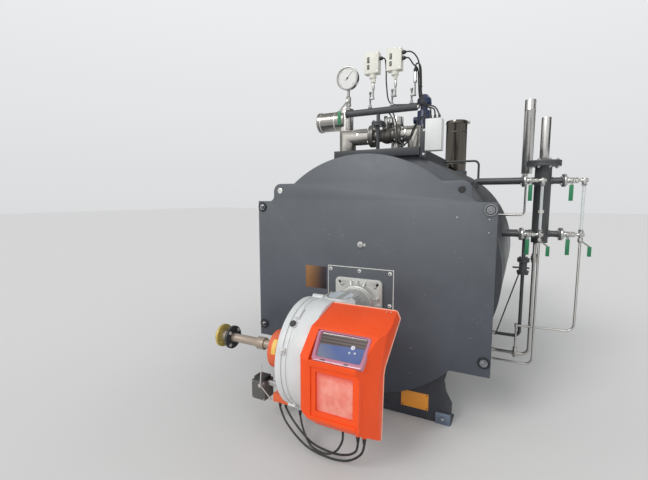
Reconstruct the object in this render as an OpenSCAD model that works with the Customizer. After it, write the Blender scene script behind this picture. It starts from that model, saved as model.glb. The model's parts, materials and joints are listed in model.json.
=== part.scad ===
// Horizontal fire-tube steam boiler with a forced-draught gas burner,
// its instrument header, twin level gauges and flue stub.
// Millimetres, +Z up, the burner end faces -Y, and the origin lies on the floor
// under the middle of the front saddle.

/* [Boiler body] */
// Height of the cladding's underside above the floor
clad_low_z = 75; // [50:1:150]
// Outer radius of the insulated cladding
clad_r = 852; // [830:1:870]
// Thickness of the cladding with its insulation
clad_wall = 60; // [40:1:90]
// Length of the cladding from the front casing to the rear smoke box
clad_len = 2000; // [1780:10:2300]
// Thickness of the round sheet that closes the cladding's front end
casing_t = 15; // [10:1:20]
// Radius of the drum that carries the front plate
drum_r = 760; // [740:1:775]
// Length of the drum between the front plate and the round sheet
drum_len = 285; // [260:5:300]
// Distance of the front plate's back from the front saddle
plate_gap = 40; // [30:1:50]
// Thickness of the front plate
plate_t = 15; // [10:1:20]
// Radius of the front plate's round part
plate_r = 802; // [790:1:806]
// Width of the front plate across its two upright sides
plate_w = 1651; // [1630:1:1700]
// Length of the rear smoke box
smoke_box_len = 440; // [380:5:520]
// How far the smoke box's round stands inside the cladding's
smoke_box_step = 42; // [20:1:55]

/* [Saddles] */
// Width of a saddle's base plate
saddle_w = 1220; // [1150:10:1300]
// Depth of a saddle's base plate along the boiler
saddle_d = 120; // [100:1:160]
// Thickness of the saddle plates
saddle_t = 15; // [10:1:20]
// Distance between the two saddles
saddle_gap = 1900; // [1500:10:2100]
// Diameter of the holes for the floor bolts
foot_hole_d = 22; // [18:1:26]
// Distance between the two floor bolts of a saddle
foot_hole_gap = 1040; // [900:10:1100]

/* [Burner] */
// Height of the combustion head's axis over the floor
head_z = 746; // [730:1:760]
// Side of the square burner plate
burner_plate_s = 462; // [440:1:500]
// Thickness of the burner plate
burner_plate_t = 8; // [6:1:12]
// Side of the cast flange
cast_flange_s = 330; // [310:1:340]
// Radius of the round fan housing
fan_r = 320; // [300:1:325]
// Width of the fan housing
fan_w = 190; // [170:1:210]
// Width of the orange cover
cover_w = 400; // [380:1:420]
// Nominal outer diameter of the gas pipe
gas_pipe_d = 60; // [48:1:76]

/* [Header] */
// Width of the deck on the boiler's top
deck_w = 630; // [600:10:660]
// Height of the deck's edge
deck_h = 55; // [45:1:65]
// Diameter of the clad steam pipes
steam_pipe_d = 120; // [100:1:130]
// Outer diameter of the instrument manifold
manifold_d = 48; // [42:1:60]
// Length of the instrument manifold
manifold_len = 532; // [500:1:560]
// Diameter of the pressure gauge
gauge_d = 164; // [150:1:170]
// Outer diameter of the flue stack
flue_d = 236; // [200:1:250]
// Wall of the flue stack
flue_wall = 12; // [8:1:20]

/* [Level gauges] */
// Distance between the upper and the lower cock of a gauge
gauge_span = 400; // [380:1:420]
// Height of the lower cocks over the floor
gauge_low_z = 1172; // [1150:1:1200]
// Outer diameter of the level pipes
level_pipe_d = 48; // [42:1:54]
// Outer diameter of a gauge glass
glass_d = 20; // [16:1:24]
// Length of a cock's lever from its stem
lever_len = 150; // [130:1:155]

/* [Hidden] */
$fn = 64;

// Clearance between curved faces that meet
fit = 0.3;
// Height of the boiler's axis, and the smoke box's radius
axis_z = clad_r + clad_low_z;
smoke_box_r = clad_r - smoke_box_step;
// Planes along the boiler, from the burner end to the flue
saddle_y0 = -saddle_d / 2;
plate_y1 = saddle_y0 - plate_gap;
plate_y0 = plate_y1 - plate_t;
casing_y0 = plate_y1 + drum_len;
clad_y0 = casing_y0 + casing_t;
clad_y1 = clad_y0 + clad_len;

// Half widths and heights of the front plate's corners
plate_half = plate_w / 2;
shoulder_z = axis_z + 493;
plate_low_z = axis_z - 540;
ear_top_z = axis_z + 618;
ear_x = 629;
ear_hole_z = axis_z + 567;
ear_r = 56;
ear_foot_r = 40;
plate_bolt_x = 788;
plate_bolt_top_z = axis_z + 449;
plate_bolt_low_z = axis_z - 452;

// Burner cables: their diameter and the points that each one runs through
cable_d = 12;
cable_1 = [
  [-325, -600, 195], [-325, -600, 155], [-250, -635, 85], [-90, -690, 30],
  [60, -705, 18], [180, -720, 48], [262, -738, 120], [285, -745, 185], [285, -745, 225]];
cable_2 = [
  [-290, -590, 195], [-290, -590, 160], [-205, -620, 95], [-70, -665, 44],
  [60, -680, 34], [160, -700, 62], [232, -735, 125], [250, -745, 185], [250, -745, 225]];
cable_3 = [
  [-170, -620, 195], [-170, -620, 158], [-125, -660, 100], [-45, -715, 62],
  [50, -735, 58], [120, -742, 95], [160, -745, 165], [165, -745, 220], [165, -745, 255]];

// Flue on the smoke box
flue_x = 208;
flue_y = clad_y1 + smoke_box_len / 2;
flue_top_z = 2350;
spigot_z = axis_z + smoke_box_r + 25;

// Facets of a round: the boiler's own large rounds get more of them
function facets(r) = r > 300 ? 256 : 64;
// A cylinder along one axis between two planes
module along_x(x0, x1, y, z, r) {
  translate([x0, y, z]) rotate([0, 90, 0]) cylinder(h = x1 - x0, r = r, $fn = facets(r));
}
module along_y(y0, y1, x, z, r) {
  translate([x, y1, z]) rotate([90, 0, 0]) cylinder(h = y1 - y0, r = r, $fn = facets(r));
}
module along_z(z0, z1, x, y, r) {
  translate([x, y, z0]) cylinder(h = z1 - z0, r = r);
}
// A box between two corners
module block(a, b) {
  translate(a) cube(b - a);
}
// A round rod from one point to another
module rod(a, b, r) {
  d = b - a;
  length = norm(d);
  translate(a) rotate([0, acos(d.z / length), atan2(d.y, d.x)]) cylinder(h = length, r = r);
}
// A quarter bend of a pipe in the plane of X and Z, about a centre, from the angle given as turn
module bend(x, y, z, r, bend_r, turn) {
  translate([x, y, z]) rotate([90, 0, 0]) rotate([0, 0, turn])
    rotate_extrude(angle = 90) translate([bend_r, 0]) circle(r);
}
// A quarter bend of a pipe that comes straight down and leaves level, at an angle in plan
module bend_out(x, y, level_z, r, bend_r, heading) {
  translate([x, y, 0]) rotate([0, 0, heading]) bend(bend_r, 0, level_z + bend_r, r, bend_r, 180);
}
// A ring of bolt holes along X through a flange
module flange_holes(x0, y, z) {
  for (i = [0:3]) {
    a = 45 + 90 * i;
    dy = flange_pcd / 2 * cos(a);
    dz = flange_pcd / 2 * sin(a);
    along_x(x0 - 1, x0 + flange_t + 1, y + dy, z + dz, flange_hole_r);
  }
}
// A flat outline in X and Z, standing between two planes of Y
module standing(y0, y1) {
  translate([0, y1, 0]) rotate([90, 0, 0]) linear_extrude(y1 - y0) children();
}
// A flat outline in Y and Z, standing between two planes of X
module sideways(x0, x1) {
  translate([x0, 0, 0]) rotate([90, 0, 90]) linear_extrude(x1 - x0) children();
}

// Front plate: a disc with upright sides and two round ears
module front_plate_outline() {
  translate([0, axis_z]) circle(plate_r, $fn = 256);
  translate([-plate_half, plate_low_z]) square([plate_w, shoulder_z - plate_low_z]);
  translate([-ear_x, shoulder_z]) square([2 * ear_x, ear_top_z - shoulder_z]);
  foot_w = ear_r + ear_foot_r;
  foot_h = ear_top_z - ear_r - shoulder_z;
  for (side = [-1, 1]) {
    translate([side * ear_x, ear_top_z - ear_r]) circle(ear_r);
    // Concave foot of the ear, tangent to its side and to the shoulder
    difference() {
      translate([side * (ear_x + foot_w / 2), shoulder_z + foot_h / 2])
        square([foot_w, foot_h], center = true);
      translate([side * (ear_x + foot_w), shoulder_z + ear_foot_r]) circle(ear_foot_r);
      translate([side * (ear_x + foot_w), ear_top_z])
        square([2 * ear_foot_r, 2 * (ear_top_z - shoulder_z - ear_foot_r)], center = true);
    }
  }
}
module front_plate() {
  color("dimgray") standing(plate_y0, plate_y1) front_plate_outline();
}
module front_casing() {
  color("dimgray") {
    along_y(plate_y1, casing_y0, 0, axis_z, drum_r);
    along_y(casing_y0, clad_y0, 0, axis_z, clad_r);
  }
}
module shell_cladding() {
  color("darkslategray") difference() {
    along_y(clad_y0, clad_y1, 0, axis_z, clad_r);
    along_y(clad_y0 - 1, clad_y1 + 1, 0, axis_z, clad_r - clad_wall);
  }
}
module rear_smoke_box() {
  door_r = smoke_box_r - 150;
  color("dimgray") {
    along_y(clad_y1, clad_y1 + smoke_box_len, 0, axis_z, smoke_box_r);
    along_y(clad_y1 + smoke_box_len, clad_y1 + smoke_box_len + 25, 0, axis_z, door_r);
    along_y(clad_y1 + smoke_box_len + 25, clad_y1 + smoke_box_len + 45, 0, axis_z, 90);
    along_z(axis_z, spigot_z, flue_x, flue_y, flue_d / 2 + 15);
  }
}

// A saddle: an upright plate that cradles the shell, on a base plate with two bolt holes
module saddle(y0, cradle_r) {
  waist_half = 560;
  waist_z = 290;
  difference() {
    union() {
      standing(y0, y0 + saddle_t) difference() {
        polygon([
          [-saddle_w / 2, 0], [-saddle_w / 2, 150], [-waist_half - 12, 220], [-waist_half, waist_z],
          [-waist_half - 15, 350], [-waist_half - 60, 421], [-waist_half - 60, 480],
          [waist_half + 60, 480], [waist_half + 60, 421], [waist_half + 15, 350], [waist_half, waist_z],
          [waist_half + 12, 220], [saddle_w / 2, 150], [saddle_w / 2, 0]
        ]);
        translate([0, axis_z]) circle(cradle_r + fit, $fn = 256);
      }
      block([-saddle_w / 2, y0, 0], [saddle_w / 2, y0 + saddle_d, saddle_t]);
    }
    for (side = [-1, 1]) {
      along_z(-1, saddle_t + 1, side * foot_hole_gap / 2, y0 + saddle_d / 2, foot_hole_d / 2);
    }
  }
}
module front_saddle() {
  color("dimgray") saddle(saddle_y0, drum_r);
}
module rear_saddle() {
  color("dimgray") saddle(saddle_y0 + saddle_gap, clad_r);
}
module foot_clips() {
  color("slategray") for (side = [-1, 1]) {
    translate([side * 560, 0, 0]) {
      block([-47, saddle_y0 - 12, 0], [47, saddle_y0, 75]);
      along_y(saddle_y0 - 24, saddle_y0 - 12, 0, 40, 14);
    }
  }
}
// The placard hangs on the saddle, just under the drum's round edge
placard_x = 285;
placard_w = 180;
placard_h = 110;
module placard() {
  top_z = axis_z - sqrt(drum_r * drum_r - placard_x * placard_x) - 50;
  color("orange")
    block([placard_x, saddle_y0 - 3, top_z - placard_h], [placard_x + placard_w, saddle_y0, top_z]);
}
module corner_bolts() {
  color("gray") {
    for (side = [-1, 1], z = [plate_bolt_top_z, plate_bolt_low_z]) {
      along_y(plate_y0 - 5, plate_y0, side * plate_bolt_x, z, 30);
      along_y(plate_y0 - 22, plate_y0 - 5, side * plate_bolt_x, z, 17);
    }
    for (side = [-1, 1]) {
      along_y(plate_y0 - 4, plate_y0, side * ear_x, ear_hole_z, 20);
    }
    along_y(plate_y0 - 30, plate_y0, 0, 1136, 14);
  }
}
module data_plate() {
  color("saddlebrown") block([-416, plate_y0 - 2, 808], [-250, plate_y0, 966]);
}

// Burner: plates, cast flange, body and cover
burner_plate_y0 = plate_y0 - burner_plate_t;
cast_flange_t = 22;
cast_flange_y0 = burner_plate_y0 - cast_flange_t;
neck_r = 108;
neck_len = 40;
neck_y0 = cast_flange_y0 - neck_len;
fan_y = plate_y0 - 400;
fan_z = 526;
fan_x1 = -10;
fan_x0 = fan_x1 - fan_w;

module burner_plate() {
  half = burner_plate_s / 2;
  color("dimgray") block([-half, burner_plate_y0, head_z - half], [half, plate_y0, head_z + half]);
}
module gasket_rope() {
  half = burner_plate_s / 2;
  color("ivory") difference() {
    block([-half - 4, plate_y0 - 5, head_z - half - 4], [half + 4, plate_y0, head_z + half + 4]);
    inner = half + fit;
    block([-inner, plate_y0 - 6, head_z - inner], [inner, plate_y0 + 1, head_z + inner]);
  }
}
// A slot along 45 degrees in a corner of the cast flange
module corner_slot(sx, sz, reach) {
  slot_r = 8;
  slot_half = 12;
  translate([sx * reach, head_z + sz * reach]) rotate(sx * sz * 45) {
    square([2 * slot_half, 2 * slot_r], center = true);
    for (dx = [-slot_half, slot_half]) {
      translate([dx, 0]) circle(slot_r);
    }
  }
}
module burner_flange() {
  half = cast_flange_s / 2;
  corner_r = 28;
  rib_y0 = cast_flange_y0 - 16;
  color("silver") {
    standing(cast_flange_y0, burner_plate_y0) difference() {
      union() {
        for (w = [half, half - corner_r]) {
          h = 2 * half - corner_r - w;
          translate([-w, head_z - h]) square([2 * w, 2 * h]);
        }
        for (sx = [-1, 1], sz = [-1, 1]) {
          translate([sx * (half - corner_r), head_z + sz * (half - corner_r)]) circle(corner_r);
        }
      }
      for (sx = [-1, 1], sz = [-1, 1]) {
        corner_slot(sx, sz, half - 38);
      }
    }
    // Ribs between the flange and its neck
    for (side = [0:90:270], lean = [-17, 0, 17]) {
      standing(rib_y0, cast_flange_y0) translate([0, head_z]) rotate(side + lean)
        translate([neck_r, -4]) square([half - neck_r - 12, 8]);
    }
    translate([0, cast_flange_y0, head_z]) rotate([90, 0, 0])
      cylinder(h = neck_len, r1 = neck_r + 26, r2 = neck_r + 14);
  }
}
// Places a piece on the fan housing's round side, at an angle above the front
module on_housing(x, angle) {
  translate([x, fan_y, fan_z]) rotate([-angle, 0, 0]) translate([0, -fan_r, 0]) children();
}
module burner_body() {
  // Depth of the round side behind its raised rims
  step = 6;
  color("lightgray") {
    along_x(fan_x0, fan_x1, fan_y, fan_z, fan_r - step);
    along_x(fan_x0, fan_x0 + 36, fan_y, fan_z, fan_r);
    along_x(fan_x0 + 42, fan_x0 + 66, fan_y, fan_z, fan_r - 2);
    along_x(fan_x0 + 86, fan_x1, fan_y, fan_z, fan_r);
    along_z(cable_3[0].z, fan_z - fan_r + 60, cable_3[0].x, cable_3[0].y, 11);
    // Sealing plug, two lugs and the two clamp screws
    on_housing(fan_x0 + 61, 46) along_y(-7, 20, 0, 0, 22);
    on_housing(fan_x0 + 70, 59) block([-13, -14, -36], [13, 10, 36]);
    on_housing(fan_x0 + 43, 19) block([-15, -12, -16], [15, 10, 16]);
    for (angle = [-58, -50]) {
      on_housing(fan_x0 + 40, angle) along_x(-24, 24, -5, 0, 9);
    }
    // Body between the flange's neck and the housing
    difference() {
      along_y(plate_y0 - 365, neck_y0, 0, head_z, neck_r);
      block([-300, fan_y, fan_z - fan_r], [fan_x1, plate_y0 - 300, fan_z]);
    }
    along_y(neck_y0 - 14, neck_y0, 0, head_z, neck_r + 8);
    // Eight-sided head with its lid, and the hinge lug beside it
    translate([-15, plate_y0 - 262, head_z]) {
      rotate(22.5) cylinder(h = 96, r = 118, $fn = 8);
      rotate(22.5) translate([0, 0, 96]) cylinder(h = 8, r = 106, $fn = 8);
    }
    block([-180, plate_y0 - 345, fan_z + 240], [-60, plate_y0 - 285, head_z + 84]);
    along_x(-180, -110, plate_y0 - 315, head_z + 88, 20);
  }
}

// Side, front and plan outlines of the cover, cut with each other
cover_y0 = plate_y0 - 780;
cover_x1 = fan_x1 + cover_w;
module cover_form() {
  intersection() {
    sideways(fan_x1, cover_x1) polygon([
      [cover_y0 + 390, 838], [cover_y0 + 210, 792], [cover_y0 + 130, 776], [cover_y0, 650],
      [cover_y0, 345], [cover_y0 + 30, 308], [cover_y0 + 165, 226], [cover_y0 + 205, 600],
      [cover_y0 + 390, 795]
    ]);
    standing(cover_y0, plate_y0) polygon([
      [fan_x1, 385], [80, 305], [cover_x1 - 60, 210], [cover_x1 - 20, 235], [cover_x1 - 25, 560],
      [cover_x1, 800], [cover_x1 - 20, 845], [fan_x1, 845]
    ]);
    translate([0, 0, 200]) linear_extrude(700) polygon([
      [fan_x1, cover_y0 + 12], [fan_x1 + 12, cover_y0], [cover_x1 - 95, cover_y0],
      [cover_x1, cover_y0 + 175], [cover_x1, plate_y0 - 380], [fan_x1, plate_y0 - 380]
    ]);
  }
}
window_x0 = 38;
window_x1 = 322;
module window_form(depth) {
  sideways(window_x0, window_x1) polygon([
    [cover_y0 + 122, 770], [cover_y0 + 2, 653], [cover_y0 + 2 + depth, 640], [cover_y0 + 122 + depth, 757]
  ]);
}
// The lower panel's place: left, right, lower and upper edge
panel_x = [78, 278];
panel_z = [390, 595];
module burner_cover() {
  frame = 26;
  color("orangered") difference() {
    union() {
      cover_form();
      // Raised ridge beside the lower panel
      block([cover_x1 - 92, cover_y0 + 6, 330], [cover_x1 - 80, cover_y0 + 60, 600]);
    }
    window_form(20);
    block([panel_x[0] - frame, cover_y0 - 1, panel_z[0] - frame],
      [panel_x[1] + frame, cover_y0 + 8, panel_z[1] + frame]);
    block([panel_x[0], cover_y0 - 1, panel_z[0]], [panel_x[1], cover_y0 + 24, panel_z[1]]);
  }
  color("orangered") for (c = [cable_1, cable_2, cable_3]) {
    end = c[len(c) - 1];
    along_z(end.z, end.z + 60, end.x, end.y, 11);
  }
}
module cover_window() {
  color("darkslateblue") window_form(20);
}
module lower_panel() {
  color("indianred") block([panel_x[0] + fit, cover_y0 + 14, panel_z[0] + fit],
    [panel_x[1] - fit, cover_y0 + 24, panel_z[1] - fit]);
}
module air_hood() {
  hood_len = 195;
  hood_r = 118;
  hood_z = fan_z - 31;
  bracket_z = cable_1[0].z + 15;
  color("orangered") {
    along_x(fan_x0 - hood_len, fan_x0, fan_y, hood_z, hood_r);
    along_x(fan_x0 - hood_len - 12, fan_x0 - hood_len, fan_y, hood_z, hood_r - 22);
    // Cable bracket under the housing, with its two glands
    block([fan_x0 - 150, fan_y - 125, bracket_z], [fan_x0, fan_y - 55, bracket_z + 50]);
    for (c = [cable_1, cable_2]) {
      along_z(c[0].z, bracket_z, c[0].x, c[0].y, 11);
    }
  }
}

// Gas pipe with its two open flanges
gas_y = plate_y0 - 250;
gas_z = 432;
flange_r = 82;
flange_t = 18;
flange_pcd = 125;
flange_hole_r = 9;
gas_x0 = -985;
module gas_flange(x0) {
  difference() {
    along_x(x0, x0 + flange_t, gas_y, gas_z, flange_r);
    flange_holes(x0, gas_y, gas_z);
    along_x(x0 - 1, x0 + flange_t + 1, gas_y, gas_z, gas_pipe_d / 2 - 4);
  }
}
module gas_pipe() {
  color("goldenrod") difference() {
    union() {
      gas_flange(gas_x0);
      gas_flange(gas_x0 + 85);
      along_x(gas_x0 + flange_t, gas_x0 + 85, gas_y, gas_z, gas_pipe_d / 2 + 6);
      along_x(gas_x0 + 85 + flange_t, fan_x0, gas_y, gas_z, gas_pipe_d / 2);
      along_x(-660, -600, gas_y, gas_z, gas_pipe_d / 2 + 12);
    }
    along_x(gas_x0 - 1, gas_x0 + 90, gas_y, gas_z, gas_pipe_d / 2 - 4);
  }
}
module air_servo() {
  servo_x0 = fan_x0 - 341;
  servo_x1 = servo_x0 + 100;
  servo_y0 = fan_y - 85;
  servo_z0 = 168;
  arm_z = servo_z0 + 104;
  crank_y = servo_y0 - 14;
  color("dimgray") {
    block([servo_x0, servo_y0, servo_z0], [servo_x1, servo_y0 + 95, servo_z0 + 120]);
    block([servo_x0 + 12, servo_y0 + 10, servo_z0 + 120], [servo_x1 - 8, servo_y0 + 80, servo_z0 + 142]);
    // Bracket to the housing, and the crank with its two rods
    block([servo_x1, servo_y0 + 40, arm_z - 16], [fan_x0, servo_y0 + 48, arm_z + 16]);
    along_y(servo_y0 - 22, servo_y0, servo_x1 - 24, arm_z, 12);
    rod([servo_x1 - 24, crank_y, arm_z], [servo_x1 + 60, crank_y, servo_z0 + 30], 4);
    rod([servo_x1 - 24, crank_y, arm_z], [servo_x1 - 10, crank_y, servo_z0 + 235], 4);
  }
}

// Burner cables: a round tube swept along chosen points, cut level at its upright ends
function unit(v) = v / norm(v);
function spline_point(p, i, t) =
  let (a = p[max(i - 1, 0)], b = p[i], c = p[i + 1], d = p[min(i + 2, len(p) - 1)])
  0.5 * ((2 * b) + (c - a) * t + (2 * a - 5 * b + 4 * c - d) * t * t + (3 * b - a - 3 * c + d) * t * t * t);
function route(p, steps) = concat(
  [for (i = [0:len(p) - 2], s = [0:steps - 1]) spline_point(p, i, s / steps)],
  [p[len(p) - 1]]);
function ring(p, i, r, sides) =
  let (n = len(p),
       t = i == 0 ? [0, 0, -1] : i == n - 1 ? [0, 0, 1] : unit(p[i + 1] - p[i - 1]),
       u = unit(cross(t, [0.3, 1, 0.1])), v = cross(t, u))
  [for (k = [0:sides - 1]) p[i] + r * (u * cos(360 * k / sides) + v * sin(360 * k / sides))];
module cord(points, d, steps, sides = 8) {
  p = route(points, steps);
  n = len(p);
  polyhedron(
    [for (i = [0:n - 1]) each ring(p, i, d / 2, sides)],
    concat(
      [[for (k = [0:sides - 1]) k]],
      [for (i = [0:n - 2], k = [0:sides - 1]) [
        i * sides + k, (i + 1) * sides + k, (i + 1) * sides + (k + 1) % sides, i * sides + (k + 1) % sides]],
      [[for (k = [sides - 1:-1:0]) (n - 1) * sides + k]]));
}
module burner_cable_1() {
  color("black") cord(cable_1, cable_d, 3);
}
module burner_cable_2() {
  color("black") cord(cable_2, cable_d, 3);
}
module burner_cable_3() {
  color("black") cord(cable_3, cable_d, 3);
}

// Deck and header on top of the boiler
deck_y0 = plate_y0 + 250;
deck_y1 = deck_y0 + 1100;
deck_z = axis_z + clad_r + 6;
manifold_y = plate_y0 + 350;
manifold_z = deck_z + 280;
manifold_x0 = -262;
manifold_x1 = manifold_x0 + manifold_len;
line_y = plate_y0 + 460;
line_z = deck_z + 122;
column_y = plate_y0 + 620;
column_x = -378;
module top_deck() {
  side_low_z = axis_z + sqrt(clad_r * clad_r - deck_w * deck_w / 4) - 4;
  color("gray") difference() {
    union() {
      block([-deck_w / 2, deck_y0, deck_z - deck_h], [deck_w / 2, deck_y1, deck_z]);
      block([-deck_w / 2, casing_y0, side_low_z], [deck_w / 2, deck_y1, deck_z]);
    }
    along_y(casing_y0, deck_y1 + 1, 0, axis_z, clad_r + fit);
  }
}
outlet_z = deck_z + 290;
outlet_x0 = -620;
module steam_column() {
  color("gainsboro") difference() {
    union() {
      on_cladding() along_z(axis_z, outlet_z + 92, column_x, column_y, 55);
      along_x(outlet_x0 + flange_t, column_x, column_y, outlet_z, 77);
      difference() {
        along_x(outlet_x0, outlet_x0 + flange_t, column_y, outlet_z, flange_r);
        flange_holes(outlet_x0, column_y, outlet_z);
      }
    }
    along_x(outlet_x0 - 1, outlet_x0 + 120, column_y, outlet_z, 27);
  }
}
// A clad leg that turns down from the line with a 45 degree mitre, to the left or right
module mitred_end(x, inner_x, r) {
  side = sign(x - inner_x);
  intersection() {
    along_x(min(x + side * r, inner_x), max(x + side * r, inner_x), line_y, line_z, r);
    standing(line_y - r - 1, line_y + r + 1) polygon([
      [x + side * r, line_z + r], [x - side * r, line_z - r],
      [inner_x, line_z - r], [inner_x, line_z + r]]);
  }
  intersection() {
    along_z(deck_z, line_z + r, x, line_y, r);
    standing(line_y - r - 1, line_y + r + 1) polygon([
      [x + side * r, line_z + r], [x - side * r, line_z - r], [x - side * r, 0], [x + side * r, 0]]);
  }
}
module steam_line() {
  r = steam_pipe_d / 2;
  color("gainsboro") {
    mitred_end(-292, valve_x[0] - flange_t, r);
    mitred_end(236, valve_x[1] + flange_t, r - 5);
    along_x(valve_x[0] - flange_t, valve_x[0], line_y, line_z, flange_r);
    along_x(valve_x[1], valve_x[1] + flange_t, line_y, line_z, flange_r - 8);
    // Clad nozzle behind the valve
    along_z(deck_z, line_z + 150, 62, line_y + 130, 44);
  }
}
// Faces of the valve's two flanges
valve_x = [-86, 122];
module steam_valve() {
  yoke_z = line_z + 123;
  valve_mid = 26;
  color("darkgray") {
    along_x(valve_x[0], valve_x[0] + flange_t, line_y, line_z, flange_r);
    along_x(valve_x[1] - flange_t, valve_x[1], line_y, line_z, flange_r - 8);
    along_x(valve_x[0] + flange_t, valve_x[1] - flange_t, line_y, line_z, 45);
    translate([valve_mid, line_y, line_z]) sphere(62);
    along_z(line_z, line_z + 72, valve_mid, line_y, 36);
    along_z(line_z + 72, line_z + 84, valve_mid, line_y, 46);
    for (dx = [-14, 14]) {
      along_z(line_z + 84, yoke_z, valve_mid + dx, line_y, 6);
    }
    block([valve_mid - 22, line_y - 10, yoke_z], [valve_mid + 22, line_y + 10, yoke_z + 10]);
  }
}
boss_z = manifold_z + manifold_d / 2 + 6;
module instrument_manifold() {
  r = manifold_d / 2;
  post_x = -10;
  joint_z = manifold_z - 106;
  color("dimgray") {
    along_x(manifold_x0, manifold_x1, manifold_y, manifold_z, r);
    along_x(manifold_x0, manifold_x0 + 14, manifold_y, manifold_z, r + 4);
    along_x(manifold_x1, manifold_x1 + 16, manifold_y, manifold_z, 12);
    along_z(deck_z, manifold_z, post_x, manifold_y, 13);
    // Flange pair of the post, with a gasket between
    along_z(joint_z, joint_z + 13, post_x, manifold_y, 48);
    along_z(joint_z + 13, joint_z + 16, post_x, manifold_y, 34);
    along_z(joint_z + 16, joint_z + 29, post_x, manifold_y, 48);
    for (x = [cock_x, switch_x[0] - 14, switch_x[1] - 14, transmitter_x - 14]) {
      along_z(manifold_z, boss_z, x, manifold_y, 12);
      along_z(manifold_z, boss_z - 3, x, manifold_y, 16);
    }
  }
}

// Instruments on the manifold
switch_x = [-59, 105];
switch_z0 = manifold_z + 259;
switch_size = [106, 60, 146];
switch_tube_z = manifold_z + 85;
transmitter_x = 243;
transmitter_z = manifold_z + 163;
transmitter_tube_z = manifold_z + 75;
// A tube that rises from its boss, with a side tube that rises on to its instrument
module siphon(x, low_z, top_z) {
  along_z(boss_z, low_z + 50, x - 14, manifold_y, 6);
  along_z(boss_z, boss_z + 16, x - 14, manifold_y, 10);
  along_z(low_z + 40, low_z + 54, x - 14, manifold_y, 9);
  along_z(low_z, top_z, x + 8, manifold_y, 6);
  block([x - 21, manifold_y - 7, low_z], [x + 15, manifold_y + 7, low_z + 13]);
}
module siphon_tubes() {
  color("gray") {
    for (x = switch_x) {
      siphon(x, switch_tube_z, switch_z0 - 60);
    }
    siphon(transmitter_x, transmitter_tube_z, transmitter_z);
  }
}
module pressure_switches() {
  nut_z = switch_z0 - 60;
  color("whitesmoke") for (i = [0, 1]) {
    x = switch_x[i];
    block([x - switch_size.x / 2, manifold_y - switch_size.y / 2, switch_z0],
      [x + switch_size.x / 2, manifold_y + switch_size.y / 2, switch_z0 + switch_size.z]);
    along_z(switch_z0 - 30, switch_z0, x + 4, manifold_y, 25);
    if (i == 0) {
      along_z(nut_z, switch_z0 - 30, x + 8, manifold_y, 17);
    } else {
      translate([x + 8, manifold_y, nut_z]) cylinder(h = 30, r1 = 8, r2 = 18);
    }
  }
}
module pressure_transmitter() {
  color("silver") {
    along_z(transmitter_z, transmitter_z + 18, transmitter_x + 8, manifold_y, 12);
    along_z(transmitter_z + 18, transmitter_z + 70, transmitter_x + 8, manifold_y, 10);
    along_z(transmitter_z + 70, transmitter_z + 88, transmitter_x + 8, manifold_y, 7);
  }
}
cock_x = -245;
cock_z = manifold_z + 88;
gauge_z = manifold_z + 253;
module pressure_gauge() {
  color("silver") {
    along_y(manifold_y - 28, manifold_y + 18, cock_x, gauge_z, gauge_d / 2);
    along_y(manifold_y - 32, manifold_y - 22, cock_x, gauge_z, gauge_d / 2 + 3);
    along_z(cock_z + 22, gauge_z - gauge_d / 2 + 3, cock_x, manifold_y, 10);
    along_z(cock_z + 22, cock_z + 40, cock_x, manifold_y, 15);
  }
}
module gauge_cock() {
  color("silver") {
    along_z(boss_z, cock_z - 22, cock_x, manifold_y, 10);
    along_z(cock_z - 22, cock_z + 22, cock_x, manifold_y, 18);
    cock_stem(cock_x, manifold_y - 16, cock_z);
  }
}

// A cock's stem with its nut, and the lever that turns on it
stem_r = 6;
lever_t = 5;
collar_len = 8;
stem_len = collar_len + lever_t + 5;
module cock_stem(x, y, z) {
  along_y(y - stem_len, y, x, z, stem_r);
  along_y(y - stem_len, y - collar_len - lever_t - 2 * fit, x, z, 10);
  along_y(y - collar_len, y, x, z, 10);
}
// A lever that hangs from its stem, with a grip set forward by two bends
module lever(length, grip_w, turn) {
  step_z = -34;
  back_y = -collar_len - fit;
  grip_y = back_y - 22;
  rotate([0, turn, 0]) difference() {
    union() {
      along_y(back_y - lever_t, back_y, 0, 0, 14);
      block([-8, back_y - lever_t, step_z], [8, back_y, 0]);
      block([-8, grip_y, step_z - lever_t], [8, back_y, step_z]);
      block([-grip_w / 2, grip_y - lever_t, -length], [grip_w / 2, grip_y, step_z]);
    }
    along_y(back_y - 2 * lever_t, 0, 0, 0, stem_r + fit);
  }
}
// A lever whose arm leans to one side before its grip hangs down
module bent_lever(side, reach, drop, grip_len) {
  arm_w = 10;
  back_y = -collar_len - fit;
  tilt = atan2(reach, drop);
  difference() {
    union() {
      along_y(back_y - lever_t, back_y, 0, 0, 13);
      standing(back_y - lever_t, back_y) rotate(side * tilt)
        translate([-arm_w / 2, -norm([reach, drop])]) square([arm_w, norm([reach, drop])]);
      along_y(back_y - lever_t, back_y, side * reach, -drop, arm_w / 2);
      block([side * reach - 9, back_y - lever_t - 2, -drop - grip_len],
        [side * reach + 9, back_y + 0.2, -drop]);
    }
    along_y(back_y - 2 * lever_t, 0, 0, 0, stem_r + fit);
  }
}
module gauge_cock_lever() {
  color("seagreen") translate([cock_x, manifold_y - 16, cock_z]) bent_lever(-1, 62, 64, 100);
}
module safety_valve() {
  x = deck_w / 2 - 60;
  y = column_y;
  seat_z = deck_z + 180;
  color("midnightblue") {
    along_z(deck_z, seat_z, x, y, 24);
    along_z(deck_z, deck_z + 16, x, y, 52);
    along_z(seat_z, seat_z + 18, x, y, 60);
    along_z(seat_z + 18, seat_z + 125, x, y, 48);
    along_x(x - 74, x, y, seat_z + 62, 26);
    along_z(seat_z + 125, seat_z + 172, x, y, 27);
    translate([x, y, seat_z + 172]) cylinder(h = 40, r1 = 54, r2 = 50);
    translate([x, y, seat_z + 212]) cylinder(h = 32, r1 = 50, r2 = 22);
  }
}
box_x0 = deck_w / 2 + 38;
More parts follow.
